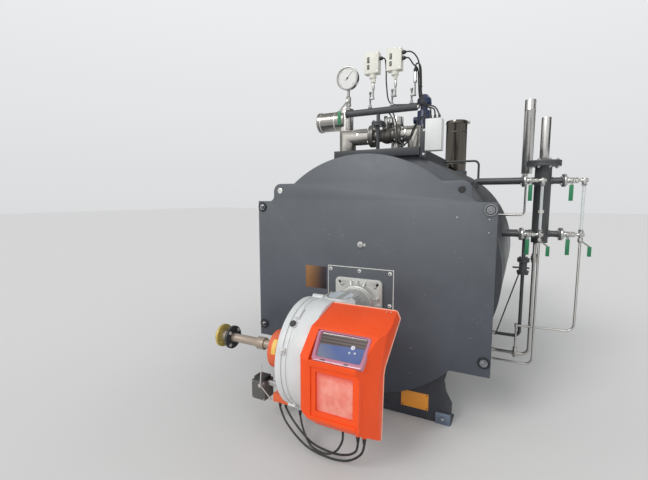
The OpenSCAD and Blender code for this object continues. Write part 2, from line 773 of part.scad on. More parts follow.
box_size = [104, 86, 203];
box_z0 = deck_z - 30;
module junction_box() {
  y0 = deck_y0 - 10;
  color("whitesmoke") {
    block([box_x0, y0, box_z0], [box_x0 + box_size.x, y0 + box_size.y, box_z0 + box_size.z]);
    block([deck_w / 2, y0 + 20, box_z0 - 40], [box_x0, y0 + 24, box_z0 + 150]);
    for (dx = [24, 52, 80]) {
      along_z(box_z0 + box_size.z, box_z0 + box_size.z + 12, box_x0 + dx, y0 + 43, 11);
      along_z(box_z0 + box_size.z + 12, box_z0 + box_size.z + 28, box_x0 + dx, y0 + 43, 8);
    }
  }
}
module flue_stack() {
  r = flue_d / 2;
  color("silver") difference() {
    union() {
      along_z(spigot_z, flue_top_z, flue_x, flue_y, r);
      along_z(flue_top_z - 42, flue_top_z - 14, flue_x, flue_y, r + 5);
      block([flue_x + r - 4, flue_y - 34, flue_top_z - 42],
        [flue_x + r + 34, flue_y - 14, flue_top_z - 14]);
    }
    along_z(spigot_z - 1, flue_top_z + 1, flue_x, flue_y, r - flue_wall);
  }
}

// Level set at the right side
level_y = [plate_y0 + 900, plate_y0 + 1020];
tee_x = [1070, 1340];
flange_x = [950, 1215];
gauge_top_z = gauge_low_z + gauge_span;
cock_flange_r = 47;
vessel_x = 1075;
vessel_r = 57;
vessel_top_z = gauge_top_z + 150;
// A piece that starts on the cladding's round side
module on_cladding() {
  difference() {
    children();
    along_y(clad_y0, clad_y1, 0, axis_z, clad_r + fit);
  }
}
module level_pipes() {
  r = level_pipe_d / 2;
  bend_r = 34;
  rise_x = 600;
  conduit_r = 9;
  conduit_bend = 40;
  conduit_x = deck_w / 2 + 283;
  conduit_y = plate_y0 + 1215;
  conduit_z = deck_z - 25;
  color("dimgray") {
    for (z = [gauge_low_z, gauge_top_z]) {
      along_x(vessel_x + vessel_r + 10, flange_x[1] - 16, level_y[1], z, r);
      along_x(flange_x[1] - 16, flange_x[1], level_y[1], z, cock_flange_r);
      along_x(flange_x[0] - 16, flange_x[0], level_y[0], z, cock_flange_r);
    }
    on_cladding() along_x(clad_r / 2, flange_x[0] - 16, level_y[0], gauge_low_z, r);
    on_cladding() along_x(clad_r / 2, vessel_x - vessel_r - 20, level_y[1], gauge_low_z, r);
    // The upper pipes rise from the cladding's shoulder and bend outwards
    for (i = [0, 1]) {
      end_x = i == 0 ? flange_x[0] - 16 : vessel_x - vessel_r - 20;
      on_cladding() {
        along_x(rise_x + bend_r, end_x, level_y[i], gauge_top_z, r);
        bend(rise_x + bend_r, level_y[i], gauge_top_z - bend_r, r, bend_r, 90);
        along_z(axis_z, gauge_top_z - bend_r, rise_x, level_y[i], r);
      }
    }
    // Conduit from the deck's side down to the shoulder
    along_x(deck_w / 2, conduit_x - conduit_bend, conduit_y, conduit_z, conduit_r);
    bend(conduit_x - conduit_bend, conduit_y, conduit_z - conduit_bend, conduit_r, conduit_bend, 0);
    on_cladding() along_z(axis_z, conduit_z - conduit_bend, conduit_x, conduit_y, conduit_r);
  }
}
module level_vessel() {
  flange_r = 117;
  joint_z = vessel_top_z - 20;
  color("dimgray") {
    along_z(gauge_low_z - 70, joint_z - 22, vessel_x, level_y[1], vessel_r);
    along_z(joint_z - 22, joint_z - 2, vessel_x, level_y[1], flange_r);
    along_z(joint_z, vessel_top_z, vessel_x, level_y[1], flange_r);
    along_z(joint_z - 2, joint_z, vessel_x, level_y[1], flange_r - 22);
    for (z = [gauge_low_z, gauge_top_z]) {
      along_x(vessel_x - vessel_r - 20, vessel_x + vessel_r + 10, level_y[1], z, level_pipe_d / 2 + 4);
    }
  }
}
module probe_tubes() {
  vent_x = 965;
  vent_y = plate_y0 + 1250;
  vent_z = gauge_low_z + 128;
  tube_z = gauge_top_z + 68;
  bend_r = 34;
  color("silver") {
    along_z(vessel_top_z, vessel_top_z + 318, vessel_x, level_y[1], 32);
    along_z(tube_z, tube_z + 590, vent_x, vent_y, 40);
    along_z(tube_z + 505, tube_z + 509, vent_x, vent_y, 43);
    along_z(vent_z + bend_r, tube_z, vent_x, vent_y, 9);
    bend_out(vent_x, vent_y, vent_z, 9, bend_r, 180);
    on_cladding() along_x(clad_r / 2, vent_x - bend_r, vent_y, vent_z, 9);
  }
}
module level_cocks() {
  color("silver") for (i = [0, 1], z = [gauge_low_z, gauge_top_z]) {
    fx = flange_x[i];
    y = level_y[i];
    along_x(fx, fx + 12, y, z, cock_flange_r);
    along_x(fx + 12, tee_x[i], y, z, 12);
    along_x(fx + 22, fx + 62, y, z, 20);
    along_x(fx + 74, fx + 90, y, z, 17);
    cock_stem(fx + 42, y - 18, z);
    along_x(tee_x[i] - 16, tee_x[i] + 24, y, z, 14);
    if (z == gauge_top_z) {
      along_z(z - 34, z + 16, tee_x[i], y, 16);
    } else {
      along_z(z - 16, z + 34, tee_x[i], y, 16);
      along_z(z - 60, z, tee_x[i], y, 12);
      along_z(z - 54, z - 26, tee_x[i], y, 17);
      cock_stem(tee_x[i], y - 15, z - 40);
    }
  }
}
module gauge_glasses() {
  color("lightcyan") for (i = [0, 1]) {
    along_z(gauge_low_z + 34, gauge_top_z - 34, tee_x[i], level_y[i], glass_d / 2);
  }
}
module cock_lever(i, z) {
  color("seagreen") translate([flange_x[i] + 42, level_y[i] - 18, z]) lever(lever_len, 20, 0);
}
module upper_lever_1() {
  cock_lever(0, gauge_top_z);
}
module upper_lever_2() {
  cock_lever(1, gauge_top_z);
}
module lower_lever_1() {
  cock_lever(0, gauge_low_z);
}
module lower_lever_2() {
  cock_lever(1, gauge_low_z);
}
// The drain cocks have a smaller lever with a bent arm
module drain_lever(i) {
  color("seagreen") translate([tee_x[i], level_y[i] - 15, gauge_low_z - 40]) bent_lever(1, 57, 44, 72);
}
module drain_lever_1() {
  drain_lever(0);
}
module drain_lever_2() {
  drain_lever(1);
}
module drain_pipes() {
  pipe_r = 8;
  thick_r = 13;
  bend_r = 55;
  end_x = 800;
  gauge_drain_z = 160;
  vessel_drain_x = vessel_x - 27;
  union_z = gauge_low_z - 197;
  cross_z = 432;
  tee_y = level_y[1] - 38;
  tee_z = 190;
  leg_x = 950;
  // The crossing pipe runs a little askew, in front of the pipes under the vessel, and is swollen in its bend
  swell = 0.4;
  run = [leg_x - tee_x[1], tee_y - level_y[1]];
  heading = atan2(run.y, run.x);
  color("silver") {
    // Drain of the first gauge
    along_z(gauge_drain_z + bend_r, gauge_low_z - 60, tee_x[0], level_y[0], pipe_r);
    bend_out(tee_x[0], level_y[0], gauge_drain_z, pipe_r, bend_r, 180);
    along_x(end_x, tee_x[0] - bend_r, level_y[0], gauge_drain_z, pipe_r);
    // Drain of the second gauge, over to the vessel's drain
    along_z(cross_z + bend_r, gauge_low_z - 60, tee_x[1], level_y[1], pipe_r);
    bend_out(tee_x[1], level_y[1], cross_z, pipe_r + swell, bend_r, heading);
    translate([tee_x[1], level_y[1], cross_z]) rotate([0, 0, heading])
      along_x(bend_r, norm(run), 0, 0, pipe_r);
    along_z(cross_z - 14, cross_z + 14, leg_x, tee_y, 12);
    along_z(tee_z, cross_z, leg_x, tee_y, pipe_r);
    along_z(tee_z - 18, tee_z + 62, leg_x, tee_y, 16);
    along_y(tee_y, level_y[1], leg_x, tee_z, 12);
    // Drain of the level vessel
    along_z(tee_z + bend_r, gauge_low_z - 70, vessel_drain_x, level_y[1], thick_r);
    along_z(union_z - 35, union_z + 35, vessel_drain_x, level_y[1], 19);
    along_z(union_z - 15, union_z + 15, vessel_drain_x, level_y[1], 24);
    bend_out(vessel_drain_x, level_y[1], tee_z, thick_r, bend_r, 180);
    along_x(end_x, vessel_drain_x - bend_r, level_y[1], tee_z, thick_r);
    along_x(leg_x - 32, leg_x + 32, level_y[1], tee_z, 18);
  }
}
module blowdown_valve() {
  x = 975;
  y = level_y[1];
  z1 = gauge_low_z - 200;
  bend_r = 45;
  pipe_z = 335;
  color("dimgray") {
    along_z(z1, gauge_low_z - level_pipe_d / 2 - fit, x, y, 15);
    along_z(z1 - 14, z1, x, y, 44);
    along_z(z1 - 30, z1 - 16, x, y, 44);
    along_z(z1 - 16, z1 - 14, x, y, 30);
    along_z(z1 - 100, z1 - 30, x, y, 28);
    along_x(x - 74, x + 46, y, z1 - 78, 7);
    along_z(z1 - 114, z1 - 100, x, y, 44);
    along_z(z1 - 130, z1 - 116, x, y, 40);
    along_z(z1 - 116, z1 - 114, x, y, 30);
    along_z(pipe_z + bend_r, z1 - 130, x, y, 13);
    bend_out(x, y, pipe_z, 13, bend_r, 180);
    along_x(800, x - bend_r, y, pipe_z, 13);
    rod([x - 26, y - 24, z1 - 123], [803, y - 24, pipe_z - 5], 5);
  }
}

front_plate();
front_casing();
shell_cladding();
rear_smoke_box();
front_saddle();
rear_saddle();
foot_clips();
placard();
corner_bolts();
data_plate();
burner_plate();
gasket_rope();
burner_flange();
burner_body();
burner_cover();
cover_window();
lower_panel();
air_hood();
gas_pipe();
air_servo();
burner_cable_1();
burner_cable_2();
burner_cable_3();
top_deck();
steam_column();
steam_line();
steam_valve();
instrument_manifold();
siphon_tubes();
pressure_gauge();
gauge_cock();
gauge_cock_lever();
pressure_switches();
pressure_transmitter();
safety_valve();
junction_box();
flue_stack();
level_pipes();
level_vessel();
probe_tubes();
level_cocks();
gauge_glasses();
upper_lever_1();
upper_lever_2();
lower_lever_1();
lower_lever_2();
drain_lever_1();
drain_lever_2();
drain_pipes();
blowdown_valve();
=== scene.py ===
import json
import math
import bpy
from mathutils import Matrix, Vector

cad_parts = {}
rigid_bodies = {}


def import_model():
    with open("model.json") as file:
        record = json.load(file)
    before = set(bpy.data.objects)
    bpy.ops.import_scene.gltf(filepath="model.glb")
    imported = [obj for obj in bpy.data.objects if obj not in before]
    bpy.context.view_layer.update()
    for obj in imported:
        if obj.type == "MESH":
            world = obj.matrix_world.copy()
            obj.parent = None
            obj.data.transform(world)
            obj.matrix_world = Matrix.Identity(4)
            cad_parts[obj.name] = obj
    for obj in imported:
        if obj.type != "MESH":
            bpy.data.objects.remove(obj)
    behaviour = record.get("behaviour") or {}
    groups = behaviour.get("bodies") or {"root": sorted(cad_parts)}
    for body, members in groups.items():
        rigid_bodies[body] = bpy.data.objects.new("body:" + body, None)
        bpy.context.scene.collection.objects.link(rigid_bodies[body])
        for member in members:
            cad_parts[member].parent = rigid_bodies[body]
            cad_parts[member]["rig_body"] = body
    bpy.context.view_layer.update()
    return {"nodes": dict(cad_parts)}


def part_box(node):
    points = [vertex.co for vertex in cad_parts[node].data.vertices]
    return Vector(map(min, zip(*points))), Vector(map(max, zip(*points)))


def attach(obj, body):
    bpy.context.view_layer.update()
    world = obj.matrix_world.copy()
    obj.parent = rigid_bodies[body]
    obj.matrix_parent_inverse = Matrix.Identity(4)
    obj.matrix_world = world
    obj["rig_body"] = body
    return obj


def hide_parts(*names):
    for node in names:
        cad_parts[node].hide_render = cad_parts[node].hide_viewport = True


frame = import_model()

# The view: a camera held at chest height 2.35 m in front of the front plate, right of its middle,
# turned 27 degrees to the left and 6 degrees down. Its focal length is 382 pixels of a 648 pixel picture.
picture_width = 648
focal_pixels = 381.98
sensor_width = 36.0
camera_place = (0.9372, -2.465, 1.4445)
camera_tilt = 6.309
camera_turn = 27.195
bpy.ops.object.camera_add(location=camera_place,
                          rotation=(math.radians(90 - camera_tilt), 0, math.radians(camera_turn)))
camera = bpy.context.object
camera.data.sensor_width = sensor_width
camera.data.lens = sensor_width * focal_pixels / picture_width
bpy.context.scene.camera = camera
bpy.context.scene.view_settings.view_transform = "Standard"


# Burner cables: three rubber-sheathed leads of 12 mm that hang from the glands under the air hood
# and the fan housing to the glands in the cover's bottom, each with a moulded sleeve at both ends.
# The helpers for materials, turned pieces and leads are first needed here.
def feed(tree, socket, value):
    if isinstance(value, bpy.types.NodeSocket):
        tree.links.new(value, socket)
    else:
        socket.default_value = value


# Adds a node and feeds its sockets, whose names have underscores here for spaces
def add(tree, kind, **sockets):
    made = tree.nodes.new(kind)
    for name, value in sockets.items():
        feed(tree, made.inputs[name.replace("_", " ")], value)
    return made


def mix(tree, factor, low, high):
    made = tree.nodes.new("ShaderNodeMix")
    made.data_type = "RGBA"
    for socket, value in ((made.inputs[0], factor), (made.inputs[6], low), (made.inputs[7], high)):
        feed(tree, socket, value)
    return made.outputs[2]


def reckon(tree, operation, *values):
    made = tree.nodes.new("ShaderNodeMath")
    made.operation = operation
    for socket, value in zip(made.inputs, values):
        feed(tree, socket, value)
    return made.outputs[0]


def spread(tree, value, low, high, to_low=0.0, to_high=1.0):
    return add(tree, "ShaderNodeMapRange", Value=value, From_Min=low, From_Max=high,
               To_Min=to_low, To_Max=to_high).outputs["Result"]


def noise(tree, place, scale, detail=3.0, roughness=0.5):
    return add(tree, "ShaderNodeTexNoise", Vector=place, Scale=scale, Detail=detail,
               Roughness=roughness).outputs[0]


# What weather and handling do to any surface: cloudy shade, pale dust that gathers on faces that
# look up, scattered specks and chips, paint rubbed thin along edges, and a fine grain.
weather = bpy.data.node_groups.new("weathering", "ShaderNodeTree")
weather_sockets = {
    "INPUT": (("Vector", "Vector"), ("Colour", "Color"), ("Dust Colour", "Color"), ("Dust", "Float"),
              ("Specks", "Float"), ("Wear", "Float"), ("Grain Scale", "Float"), ("Roughness", "Float")),
    "OUTPUT": (("Colour", "Color"), ("Roughness", "Float"), ("Height", "Float")),
}
for way, sockets in weather_sockets.items():
    for socket_name, kind in sockets:
        weather.interface.new_socket(name=socket_name, in_out=way, socket_type="NodeSocket" + kind)
given = weather.nodes.new("NodeGroupInput").outputs
result = weather.nodes.new("NodeGroupOutput").inputs
where = given["Vector"]
geometry = weather.nodes.new("ShaderNodeNewGeometry").outputs
shade = spread(weather, noise(weather, where, 1.7, 5.0, 0.6), 0.3, 0.7, 0.88, 1.10)
shaded = add(weather, "ShaderNodeVectorMath", Vector=given["Colour"])
shaded.operation = "SCALE"
weather.links.new(shade, shaded.inputs["Scale"])
upward = add(weather, "ShaderNodeSeparateXYZ", Vector=geometry["Normal"]).outputs["Z"]
settled = noise(weather, where, 14.0, 6.0, 0.7)
film = reckon(weather, "MULTIPLY_ADD", spread(weather, upward, 0.2, 0.95),
              spread(weather, settled, 0.35, 0.7), spread(weather, settled, 0.5, 0.8, 0.0, 0.3))
dusted = mix(weather, reckon(weather, "MULTIPLY", film, given["Dust"]), shaded.outputs[0],
             given["Dust Colour"])
speckled = reckon(weather, "MULTIPLY", spread(weather, noise(weather, where, 95.0, 1.0), 0.70, 0.76),
                  spread(weather, noise(weather, where, 5.0, 3.0), 0.52, 0.66))
chipped = mix(weather, reckon(weather, "MULTIPLY", speckled, given["Specks"]), dusted,
              given["Dust Colour"])
edge = spread(weather, geometry["Pointiness"], 0.53, 0.62)
worn = reckon(weather, "MULTIPLY", edge, given["Wear"])
rubbed = reckon(weather, "MULTIPLY", worn, spread(weather, settled, 0.4, 0.6))
bare_metal = (0.55, 0.54, 0.52, 1)
uneven = reckon(weather, "ADD", given["Roughness"], spread(weather, settled, 0.3, 0.7, -0.05, 0.09))
weather.links.new(mix(weather, rubbed, chipped, bare_metal), result["Colour"])
weather.links.new(uneven, result["Roughness"])
weather.links.new(noise(weather, where, given["Grain Scale"]), result["Height"])


# A material of one finish, with its weathering. Stretch draws its pattern out along an axis.
def finish(name, colour, roughness=0.45, metallic=0.0, dust=0.2, specks=0.25, wear=0.0, grain=160.0,
           relief=0.08, coat=0.0, dust_colour=(0.40, 0.39, 0.37, 1), stretch=(1, 1, 1)):
    material = bpy.data.materials.new(name)
    material.use_nodes = True
    tree = material.node_tree
    shader = tree.nodes["Principled BSDF"]
    own_place = tree.nodes.new("ShaderNodeTexCoord").outputs["Object"]
    place = add(tree, "ShaderNodeMapping", Vector=own_place, Scale=stretch)
    effect = tree.nodes.new("ShaderNodeGroup")
    effect.node_tree = weather
    for socket, value in (("Vector", place.outputs[0]), ("Colour", (*colour, 1)), ("Dust", dust),
                          ("Dust Colour", dust_colour), ("Wear", wear), ("Specks", specks),
                          ("Grain Scale", grain), ("Roughness", roughness)):
        feed(tree, effect.inputs[socket], value)
    bump = add(tree, "ShaderNodeBump", Height=effect.outputs["Height"], Strength=relief, Distance=0.001)
    for socket, value in (("Base Color", effect.outputs["Colour"]), ("Normal", bump.outputs[0]),
                          ("Roughness", effect.outputs["Roughness"]), ("Metallic", metallic),
                          ("Coat Weight", coat), ("Coat Roughness", 0.12)):
        feed(tree, shader.inputs[socket], value)
    return material


def only(piece):
    bpy.ops.object.select_all(action="DESELECT")
    piece.select_set(True)
    bpy.context.view_layer.objects.active = piece


# Fixes a piece's place, turn and size in its mesh
def fixed(piece):
    only(piece)
    bpy.ops.object.transform_apply(location=True, rotation=True, scale=True)
    return piece


def moved(piece, place, turn):
    piece.rotation_euler = turn
    piece.location = place
    return fixed(piece)


# The turn that brings a piece's own z axis to a direction
def facing(toward):
    return Vector(toward).to_track_quat("Z", "Y").to_euler()


# Gives a piece its material and the body that it rides on
def settle(piece, material, body="boiler", smooth=30):
    fixed(piece)
    bpy.ops.object.shade_smooth_by_angle(angle=math.radians(smooth))
    piece.data.materials.clear()
    piece.data.materials.append(material)
    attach(piece, body)
    return piece


# Turns all faces of the mesh in edit mode outward, and ends edit mode
def close_mesh():
    bpy.ops.mesh.select_all(action="SELECT")
    bpy.ops.mesh.normals_make_consistent(inside=False)
    bpy.ops.object.mode_set(mode="OBJECT")


# A turned piece: a disc drawn out ring by ring, from (distance, radius) pairs, then set at its place
def turned(name, rings, place=(0, 0, 0), toward=(0, 0, 1), sides=32):
    reach, radius = rings[0]
    bpy.ops.object.select_all(action="DESELECT")
    bpy.ops.mesh.primitive_circle_add(vertices=sides, radius=radius, fill_type="NGON",
                                      location=(0, 0, reach))
    piece = bpy.context.object
    piece.name = name
    bpy.ops.object.mode_set(mode="EDIT")
    bpy.ops.mesh.select_all(action="SELECT")
    for next_reach, next_radius in rings[1:]:
        step = (0, 0, next_reach - reach)
        bpy.ops.mesh.extrude_region_move(TRANSFORM_OT_translate={"value": step})
        factor = next_radius / radius
        bpy.ops.transform.resize(value=(factor, factor, 1), center_override=(0, 0, 0))
        reach, radius = next_reach, next_radius
    close_mesh()
    return moved(fixed(piece), place, facing(toward))


def shown(name, data):
    piece = bpy.data.objects.new(name, data)
    bpy.context.collection.objects.link(piece)
    return piece


# A round rod through a row of points, as a curve
def rod(name, points, radius):
    curve = bpy.data.curves.new(name, "CURVE")
    curve.dimensions = "3D"
    line = curve.splines.new("POLY")
    line.points.add(len(points) - 1)
    for spot, point in zip(line.points, points):
        spot.co = (*point, 1)
    curve.bevel_depth = radius
    curve.bevel_resolution = 4
    curve.use_fill_caps = True
    return shown(name, curve)


# A point of the smooth curve through a route, the share t of the way from point i to the next
def spline_point(route, i, t):
    a, b, c, d = (Vector(route[min(max(i + step, 0), len(route) - 1)]) for step in (-1, 0, 1, 2))
    return 0.5 * (2 * b + (c - a) * t + (2 * a - 5 * b + 4 * c - d) * t ** 2
                  + (3 * b - a - 3 * c + d) * t ** 3)


# A sheathed lead that runs smoothly through the points of its route
def lead(name, route, diameter, material, steps=4):
    points = [spline_point(route, i, s / steps) for i in range(len(route) - 1) for s in range(steps)]
    points.append(Vector(route[-1]))
    piece = rod(name, points, diameter / 2)
    piece.data.materials.append(material)
    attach(piece, "boiler")
    return piece


cable_diameter = 0.012
cable_lengths = (0.829, 0.746, 0.578)
cable_routes = [
    [(-0.325, -0.600, 0.195), (-0.325, -0.600, 0.155), (-0.250, -0.635, 0.085), (-0.090, -0.690, 0.030),
     (0.060, -0.705, 0.018), (0.180, -0.720, 0.048), (0.262, -0.738, 0.120), (0.285, -0.745, 0.185),
     (0.285, -0.745, 0.225)],
    [(-0.290, -0.590, 0.195), (-0.290, -0.590, 0.160), (-0.205, -0.620, 0.095), (-0.070, -0.665, 0.044),
     (0.060, -0.680, 0.034), (0.160, -0.700, 0.062), (0.232, -0.735, 0.125), (0.250, -0.745, 0.185),
     (0.250, -0.745, 0.225)],
    [(-0.170, -0.620, 0.195), (-0.170, -0.620, 0.158), (-0.125, -0.660, 0.100), (-0.045, -0.715, 0.062),
     (0.050, -0.735, 0.058), (0.120, -0.742, 0.095), (0.160, -0.745, 0.165), (0.165, -0.745, 0.220),
     (0.165, -0.745, 0.255)],
]
cable_rubber = finish("cable_rubber", (0.014, 0.014, 0.015), 0.42, dust=0.12, specks=0.1, grain=700)
sleeve_rubber = finish("sleeve_rubber", (0.022, 0.022, 0.023), 0.55, dust=0.15, specks=0.1, grain=900)
collar_t = 0.005
groove_step = 0.0072
groove_depth = 0.0015
sleeve_rings = [(0, 0.0112), (collar_t, 0.0112)]
for groove in range(4):
    start = collar_t + groove_step * groove
    wide = 0.0102 - 0.0008 * groove
    sleeve_rings += [(start, wide - groove_depth), (start + 0.002, wide - groove_depth),
                     (start + 0.002, wide), (start + groove_step, wide - 0.0002)]
for number, (route, length) in enumerate(zip(cable_routes, cable_lengths), 1):
    cable = lead(f"cable_{number}", route, cable_diameter, cable_rubber)
    for end, place in (("upper", route[0]), ("lower", route[-1])):
        sleeve = turned(f"cable_{number}_{end}_sleeve", sleeve_rings, place, (0, 0, -1), 24)
        settle(sleeve, sleeve_rubber)
    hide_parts(f"burner_cable_{number}")
    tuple(route[0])


# Floor, backdrop and lamps: a pale plain floor and backdrop, and a world that metal mirrors as bright
# toward the open front and dim toward the back. A broad soft light comes from the left front, weaker
# ones from the right and from behind.
bpy.ops.object.select_all(action="DESELECT")
bpy.ops.mesh.primitive_plane_add(size=80, location=(0, 1, 0))
floor = bpy.context.object
floor.name = "floor"
floor_paint = bpy.data.materials.new("floor_paint")
floor_paint.use_nodes = True
floor_shader = floor_paint.node_tree.nodes["Principled BSDF"]
floor_shader.inputs["Base Color"].default_value = (0.66, 0.655, 0.64, 1)
floor_shader.inputs["Roughness"].default_value = 0.95
floor_shader.inputs["Specular IOR Level"].default_value = 0.1
floor.data.materials.append(floor_paint)

world = bpy.data.worlds.new("studio")
bpy.context.scene.world = world
world.use_nodes = True
sky = world.node_tree
sky.nodes.clear()
path = sky.nodes.new("ShaderNodeLightPath").outputs
direct = reckon(sky, "MAXIMUM", path["Is Camera Ray"], path["Is Transmission Ray"])
toward = sky.nodes.new("ShaderNodeTexCoord").outputs["Generated"]
height = add(sky, "ShaderNodeSeparateXYZ", Vector=toward).outputs["Z"]
low_backdrop = (0.70, 0.71, 0.72, 1)
high_backdrop = (0.93, 0.94, 0.95, 1)
backdrop_colour = mix(sky, spread(sky, height, -0.05, 0.75), low_backdrop, high_backdrop)
opening = add(sky, "ShaderNodeVectorMath", Vector=toward)
opening.operation = "DOT_PRODUCT"
opening.inputs[1].default_value = Vector((-0.42, -0.88, 0.22)).normalized()
daylight = spread(sky, opening.outputs["Value"], 0.10, 0.92, 0.06, 1.15)
mirrored = reckon(sky, "MAXIMUM", daylight, spread(sky, height, 0.35, 0.95, 0.0, 0.55))
ambient = add(sky, "ShaderNodeBackground", Color=(0.95, 0.97, 1.0, 1), Strength=0.66)
backdrop = add(sky, "ShaderNodeBackground", Color=backdrop_colour, Strength=1.0)
surroundings = add(sky, "ShaderNodeBackground", Color=(1.0, 0.99, 0.97, 1), Strength=mirrored)
world_light = add(sky, "ShaderNodeMixShader", Fac=path["Is Glossy Ray"])
seen_world = add(sky, "ShaderNodeMixShader", Fac=direct)
output = sky.nodes.new("ShaderNodeOutputWorld")
for source, socket in ((ambient, world_light.inputs[1]), (surroundings, world_light.inputs[2]),
                       (world_light, seen_world.inputs[1]), (backdrop, seen_world.inputs[2]),
                       (seen_world, output.inputs["Surface"])):
    sky.links.new(source.outputs[0], socket)

lamps = [
    ("key_lamp", (-1.9, -4.8, 4.0), 1.30, 25),
    ("side_lamp", (4.6, -2.8, 2.6), 0.30, 50),
    ("rear_lamp", (3.6, 4.2, 4.4), 0.45, 40),
]
for name, side, strength, breadth in lamps:
    aim = (-Vector(side)).to_track_quat("-Z", "Y").to_euler()
    bpy.ops.object.light_add(type="SUN", location=side, rotation=aim)
    lamp = bpy.context.object
    lamp.name = name
    lamp.data.energy = strength
    lamp.data.angle = math.radians(breadth)


# Front plate: one flame-cut steel plate with two lifting ears, ground round at its edges and sprayed
# in a dark blue-grey satin paint. Four bolts hold its corners, a nut closes its peep sight, and plugs
# close the holes in its ears.
def soften(piece, width, segments, turn):
    only(piece)
    bevel = piece.modifiers.new("edges", "BEVEL")
    bevel.width = width
    bevel.segments = segments
    bevel.limit_method = "ANGLE"
    bevel.angle_limit = math.radians(turn)
    bevel.miter_outer = "MITER_ARC"
    bpy.ops.object.modifier_apply(modifier=bevel.name)
    return piece


# A merged copy of a node with rounded edges, in the node's place
def rounded(node, material, width=0.0015, segments=2, turn=35):
    solid = frame["nodes"][node]
    piece = shown(node + "_shaped", solid.data.copy())
    only(piece)
    bpy.ops.object.mode_set(mode="EDIT")
    bpy.ops.mesh.select_all(action="SELECT")
    bpy.ops.mesh.remove_doubles(threshold=0.00002)
    bpy.ops.mesh.dissolve_limited(angle_limit=math.radians(0.5))
    bpy.ops.object.mode_set(mode="OBJECT")
    soften(piece, width, segments, turn)
    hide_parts(node)
    return settle(piece, material, solid["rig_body"], turn)


def paint(node, material):
    for slot in frame["nodes"][node].material_slots:
        slot.material = material


# Gives a second material to the faces whose middle passes the test
def tint(piece, material, test):
    piece.data.materials.append(material)
    number = len(piece.data.materials) - 1
    for face in piece.data.polygons:
        if test(face.center):
            face.material_index = number


# Lets a colour that changes over the piece stand in for the one colour of its finish
def recolour(material, colour):
    material.node_tree.links.new(colour, material.node_tree.nodes["Group"].inputs["Colour"])


def object_axis(tree, axis):
    place = tree.nodes.new("ShaderNodeTexCoord").outputs["Object"]
    return add(tree, "ShaderNodeSeparateXYZ", Vector=place).outputs[axis]


def joined(name, pieces):
    only(pieces[0])
    for piece in pieces:
        piece.select_set(True)
    bpy.ops.object.join()
    whole = bpy.context.object
    whole.name = name
    return whole


# The piece once at each place, its axis turned that way, all in one object
def placed(name, piece, places, toward=(0, 0, 1)):
    twins = [moved(shown(name, piece.data.copy()), place, facing(toward)) for place in places]
    bpy.data.objects.remove(piece, do_unlink=True)
    return joined(name, twins)


# A row of fasteners, finished: the piece at each place, in one material
def fastened(name, piece, places, toward, material):
    return settle(placed(name, piece, places, toward), material)


# A hexagon bolt head on a round washer, with the bolt's end standing out of it
def bolt(head_r, head_t, washer_r=0, washer_t=0, end_r=0, end_t=0):
    cut = head_t * 0.15
    top = washer_t + head_t
    parts = [turned("head", [(washer_t, head_r), (top - cut, head_r), (top, head_r - 1.5 * cut)],
                    sides=6)]
    if washer_r:
        rings = [(0, washer_r), (washer_t * 0.8, washer_r), (washer_t, washer_r * 0.96)]
        parts.append(turned("washer", rings))
    if end_r:
        rings = [(top - 0.001, end_r), (top + end_t * 0.7, end_r), (top + end_t, end_r * 0.8)]
        parts.append(turned("end", rings, sides=16))
    return joined("bolt", parts)


to_front = (0, -1, 0)
plate_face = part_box("front_plate")[0][1]
boiler_paint = finish("boiler_paint", (0.094, 0.104, 0.119), 0.40, dust=0.10, specks=0.8, relief=0.05)
bolt_zinc = finish("bolt_zinc", (0.30, 0.31, 0.33), 0.24, 1.0, dust=0.1)
bright_zinc = finish("bright_zinc", (0.66, 0.66, 0.65), 0.3, 0.9, dust=0.1)
# Near black for the wide washers and the lock washer's recess: painted shade
painted_shade_washer = finish("painted_shade_washer", (0.035, 0.037, 0.041), 0.35, 0.7, dust=0.1)
plug_black = finish("plug_black", (0.02, 0.02, 0.022), 0.4)
# The paint is darker and bluer near the floor: painted shade, with a painted reflection of the dark floor
paint_tree = boiler_paint.node_tree
painted_shade_rise = spread(paint_tree, object_axis(paint_tree, "Z"), 0.25, 1.15)
recolour(boiler_paint, mix(paint_tree, painted_shade_rise, (0.056, 0.066, 0.086, 1), (0.094, 0.104, 0.119, 1)))
rounded("front_plate", boiler_paint, width=0.003)
bolt_x = 0.788
bolt_low_z = 0.475
bolt_top_z = 1.376
corners = [(x, plate_face, z) for x in (-bolt_x, bolt_x) for z in (bolt_low_z, bolt_top_z)]
corner_bolt = bolt(head_r=0.0165, head_t=0.013, washer_r=0.0235, washer_t=0.0075, end_r=0.0085, end_t=0.007)
plate_bolts = fastened("plate_bolts", corner_bolt, corners, to_front, bolt_zinc)
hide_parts("corner_bolts")
# Wide washers under the corner bolts, near black as painted shade
wide_washer = turned("washer", [(0, 0.036), (0.004, 0.036), (0.0052, 0.0345)])
fastened("wide_washers", wide_washer, corners, to_front, painted_shade_washer)
# The upper right bolt sits on a bright toothed lock washer whose recess is coloured black as painted shade
teeth = 22
tooth = 0.0035
lock_r = 0.034
rim_inner_r = 0.030
lock_rings = [(0, lock_r), (0.003, lock_r), (0.0045, 0.032), (0.0045, 0.0285), (0.0024, 0.0275)]
lock_washer = turned("lock_washer", lock_rings, sides=2 * teeth)
for corner in lock_washer.data.vertices:
    step = round(math.atan2(corner.co.y, corner.co.x) / math.pi * teeth)
    if step % 2 and corner.co.xy.length > rim_inner_r:
        corner.co.xy *= 1 + tooth / lock_r
lock_washer = fastened("lock_washer", lock_washer, [(bolt_x, plate_face - 0.003, bolt_top_z)], to_front,
                       bolt_zinc)
tint(lock_washer, painted_shade_washer, lambda c: math.hypot(c.x - bolt_x, c.z - bolt_top_z) < 0.010)
ear_x = 0.629
ear_z = 1.494
plug_rings = [(0, 0.021), (0.003, 0.021), (0.0045, 0.018), (0.0045, 0.013), (0.002, 0.012)]
